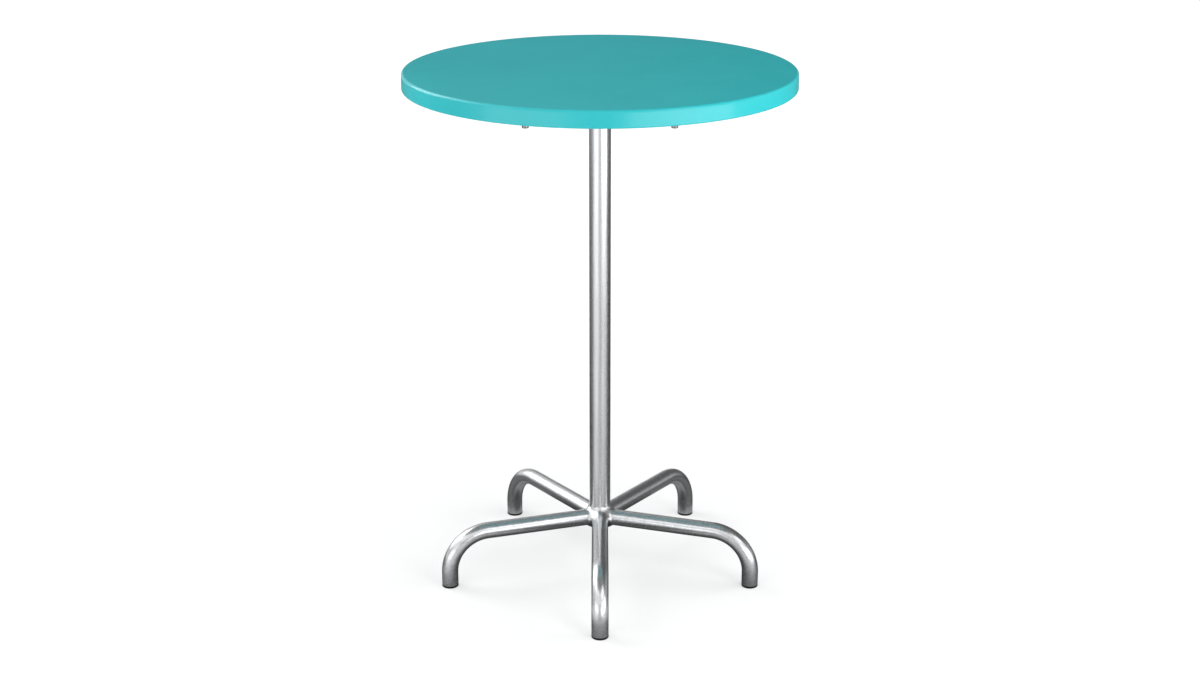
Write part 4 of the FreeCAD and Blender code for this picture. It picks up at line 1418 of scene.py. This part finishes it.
@dataclass
class Studio:
    """Camera, pale floor, soft lights, and glowing cards that only mirrors see as painted reflections.

    Sizes are in metres, apart from the lens and the sensor in millimetres. Angles are in degrees.
    """

    camera_place: Place = (0.0, -3.8051, 1.8341)
    camera_pitch: float = 71.047
    lens: float = 57.13
    sensor: float = 36.0
    world_level: float = 0.62
    floor_size: float = 40.0
    floor_grey: float = 0.52
    floor_glow: Span = (0.40, 0.72)
    floor_glow_at: Span = (0.6, 2.6)
    card_radius: float = 7.0
    card_steps: int = 48
    rear_turn: Span = (-20.0, 154.0)
    rear_heights: Span = (0.0, 9.0)
    front_turn: Span = (-206.0, -20.0)
    front_heights: Span = (1.1, 2.5)
    front_level: float = 0.42
    roof_radius: float = 7.2
    roof_height: float = 8.9
    roof_level: float = 0.22
    mat_height: float = 0.002
    lamp_target: Place = (0.0, 0.0, 0.75)
    # Glowing panels that paint highlights and darker reflections into the metal and the rim.
    panels: tuple[Panel, ...] = (
        Panel("right_lower", ((0.95, -3.6), (3.5, -0.9)), (0.02, 1.05), 3.0),
        Panel("right_upper", ((1.65, -3.1), (2.95, -1.9)), (2.3, 4.0), 2.4),
        Panel("left_lower", ((-3.35, -1.65), (-1.3, -3.7)), (0.02, 1.05), 2.0),
        Panel("left_upper", ((-3.7, -1.3), (-1.3, -3.7)), (3.0, 4.0), 2.0),
        Panel("front_upper", ((-0.8, -5.2), (0.8, -5.2)), (2.2, 4.2), 1.2),
        Panel("edge", ((-3.6, 0.4), (-3.6, -1.3)), (3.0, 4.4), 4.0),
        Panel("camera", ((-0.7, -5.2), (0.7, -5.2)), (0.0, 1.6), 0.55),
    )
    lamps: tuple[SoftBox, ...] = (
        SoftBox("left_box", (-2.5, -2.5, 1.75), (3.4, 2.8), 49.0),
        SoftBox("right_box", (2.3, -2.5, 1.85), (1.6, 3.2), 60.0),
        SoftBox("edge_box", (-2.9, 1.4, 2.4), (2.0, 2.8), 62.0, mirrored=True),
        SoftBox("side_box", (3.2, 0.0, 1.5), (2.4, 2.4), 60.0),
        SoftBox("floor_bounce", (0.0, 0.0, 0.01), (1.6, 1.6), 13.0),
    )

    def camera(self) -> None:
        """Sets up the camera that the photograph was matched with."""
        data = bpy.data.cameras.new("camera")
        data.sensor_fit, data.sensor_width, data.lens = "HORIZONTAL", self.sensor, self.lens
        camera = bpy.data.objects.new("camera", data)
        camera.location = self.camera_place
        camera.rotation_euler = (math.radians(self.camera_pitch), 0.0, 0.0)
        bpy.context.scene.collection.objects.link(camera)
        bpy.context.scene.camera = camera

    @staticmethod
    def seen(graph: Graph) -> Socket:
        """Gives 1 for camera, mirror and see-through rays and 0 for the rest."""
        path = graph.add("ShaderNodeLightPath").outputs
        return graph.greatest(path["Is Camera Ray"], path["Is Glossy Ray"], path["Is Transmission Ray"])

    def world(self) -> None:
        """Makes an even world, grey for lighting and white to look at."""
        world = bpy.data.worlds.new("studio")
        world.use_nodes = True
        graph = Graph(world.node_tree)
        strength = graph.remap(self.seen(graph), UNIT, (self.world_level, 1.0))
        sky = graph.add("ShaderNodeBackground", {"Color": WHITE, "Strength": strength})
        graph.add("ShaderNodeOutputWorld", {"Surface": sky.outputs["Background"]})
        bpy.context.scene.world = world

    def card(self, name: str, points: Array, faces: Faces, material: bpy.types.Material) -> bpy.types.Object:
        """Makes a plain sheet of the studio.

        Args:
            name: Name of the sheet.
            points: Its corners in metres.
            faces: Its faces.
            material: Its material.

        Returns:
            The sheet.
        """
        mesh = bpy.data.meshes.new(name)
        mesh.from_pydata(points.tolist(), [], faces.tolist())
        mesh.materials.append(material)
        sheet = bpy.data.objects.new(name, mesh)
        bpy.context.scene.collection.objects.link(sheet)
        return sheet

    def floor(self) -> None:
        """Lays the pale floor, which keeps the shadow near the object and is white further out."""
        material, graph = new_material("floor")
        level = graph.remap(graph.length(graph.place()), self.floor_glow_at, self.floor_glow)
        glow = graph.glow(WHITE, graph.product(level, self.seen(graph)))
        grey = self.floor_grey
        paint = graph.add("ShaderNodeBsdfDiffuse", {"Color": (grey, grey, grey, 1.0)})
        both = graph.add("ShaderNodeAddShader", {0: glow, 1: paint.outputs["BSDF"]})
        graph.set_surface(both.outputs["Shader"])
        half = self.floor_size / 2
        corners = np.array([[-half, -half, 0.0], [half, -half, 0.0], [half, half, 0.0], [-half, half, 0.0]])
        self.card("floor", corners, np.arange(4)[None, :], material)

    def mirrored_card(self, name: str, points: Array, faces: Faces, glow: Glow) -> None:
        """Makes a glowing card that only mirrors see, which paints a reflection into metal and gloss.

        Args:
            name: Name of the card.
            points: Its corners in metres.
            faces: Its faces.
            glow: Its pattern.
        """
        sheet = self.card(name, points, faces, glow.material())
        sheet.visible_camera = sheet.visible_diffuse = sheet.visible_shadow = False
        sheet.visible_transmission = sheet.visible_volume_scatter = False

    def wall(self, turn: Span, heights: Span) -> tuple[Array, Faces]:
        """Bends an upright wall round the object.

        A point at turn a and height z stands at (r cos a, r sin a, z), with r the cards' radius.

        Args:
            turn: First and last turn.
            heights: Heights of the lower and upper edges.

        Returns:
            The corners and the faces.
        """
        count = self.card_steps + 1
        angle = np.radians(np.linspace(*turn, count))
        row = np.stack([self.card_radius * np.cos(angle), self.card_radius * np.sin(angle)], axis=-1)
        points = [np.pad(row, ((0, 0), (0, 1)), constant_values=height) for height in heights]
        first = np.arange(self.card_steps)
        return np.concatenate(points), np.stack([first, first + 1, first + count + 1, first + count], axis=-1)

    def disc(self, radius: float, height: float) -> tuple[Array, Faces]:
        """Lays a flat disc about the object's axis.

        Args:
            radius: Its radius.
            height: Its height.

        Returns:
            The corners and the one face.
        """
        turn = np.linspace(0.0, 2 * math.pi, self.card_steps, endpoint=False)
        points = np.stack([radius * np.cos(turn), radius * np.sin(turn), np.full(len(turn), height)], axis=-1)
        return points, np.arange(len(turn))[None, :]

    def cards(self) -> None:
        """Stands curved cards behind and in front, a roof, a mat and the panels, as painted reflections."""
        self.mirrored_card("rear_card", *self.wall(self.rear_turn, self.rear_heights), RearGlow())
        self.mirrored_card("roof_card", *self.disc(self.roof_radius, self.roof_height),
                           PlainGlow("roof", self.roof_level))
        self.mirrored_card("floor_card", *self.disc(self.card_radius, self.mat_height), MatGlow())
        self.mirrored_card("front_card", *self.wall(self.front_turn, self.front_heights),
                           PlainGlow("front", self.front_level))
        for panel in self.panels:
            self.mirrored_card(f"{panel.name}_card", panel.corners(), np.arange(4)[None, :],
                               PlainGlow(panel.name, panel.level))

    def build(self) -> None:
        """Sets up the whole studio."""
        bpy.context.scene.view_settings.view_transform = "Standard"
        self.camera()
        self.world()
        self.floor()
        self.cards()
        for lamp in self.lamps:
            lamp.build(self.lamp_target)


def write_size() -> None:
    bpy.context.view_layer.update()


def main() -> None:
    """Builds the object's pieces, dresses the rest and sets up the studio."""
    logging.basicConfig(level=logging.INFO, format="%(name)s %(message)s")
    pedestal = Pedestal()
    TableTop().build()
    pedestal.build()
    Beads(pedestal).build()
    Hardware().build()
    Studio().build()
    write_size()


if __name__ == "__main__":
    main()
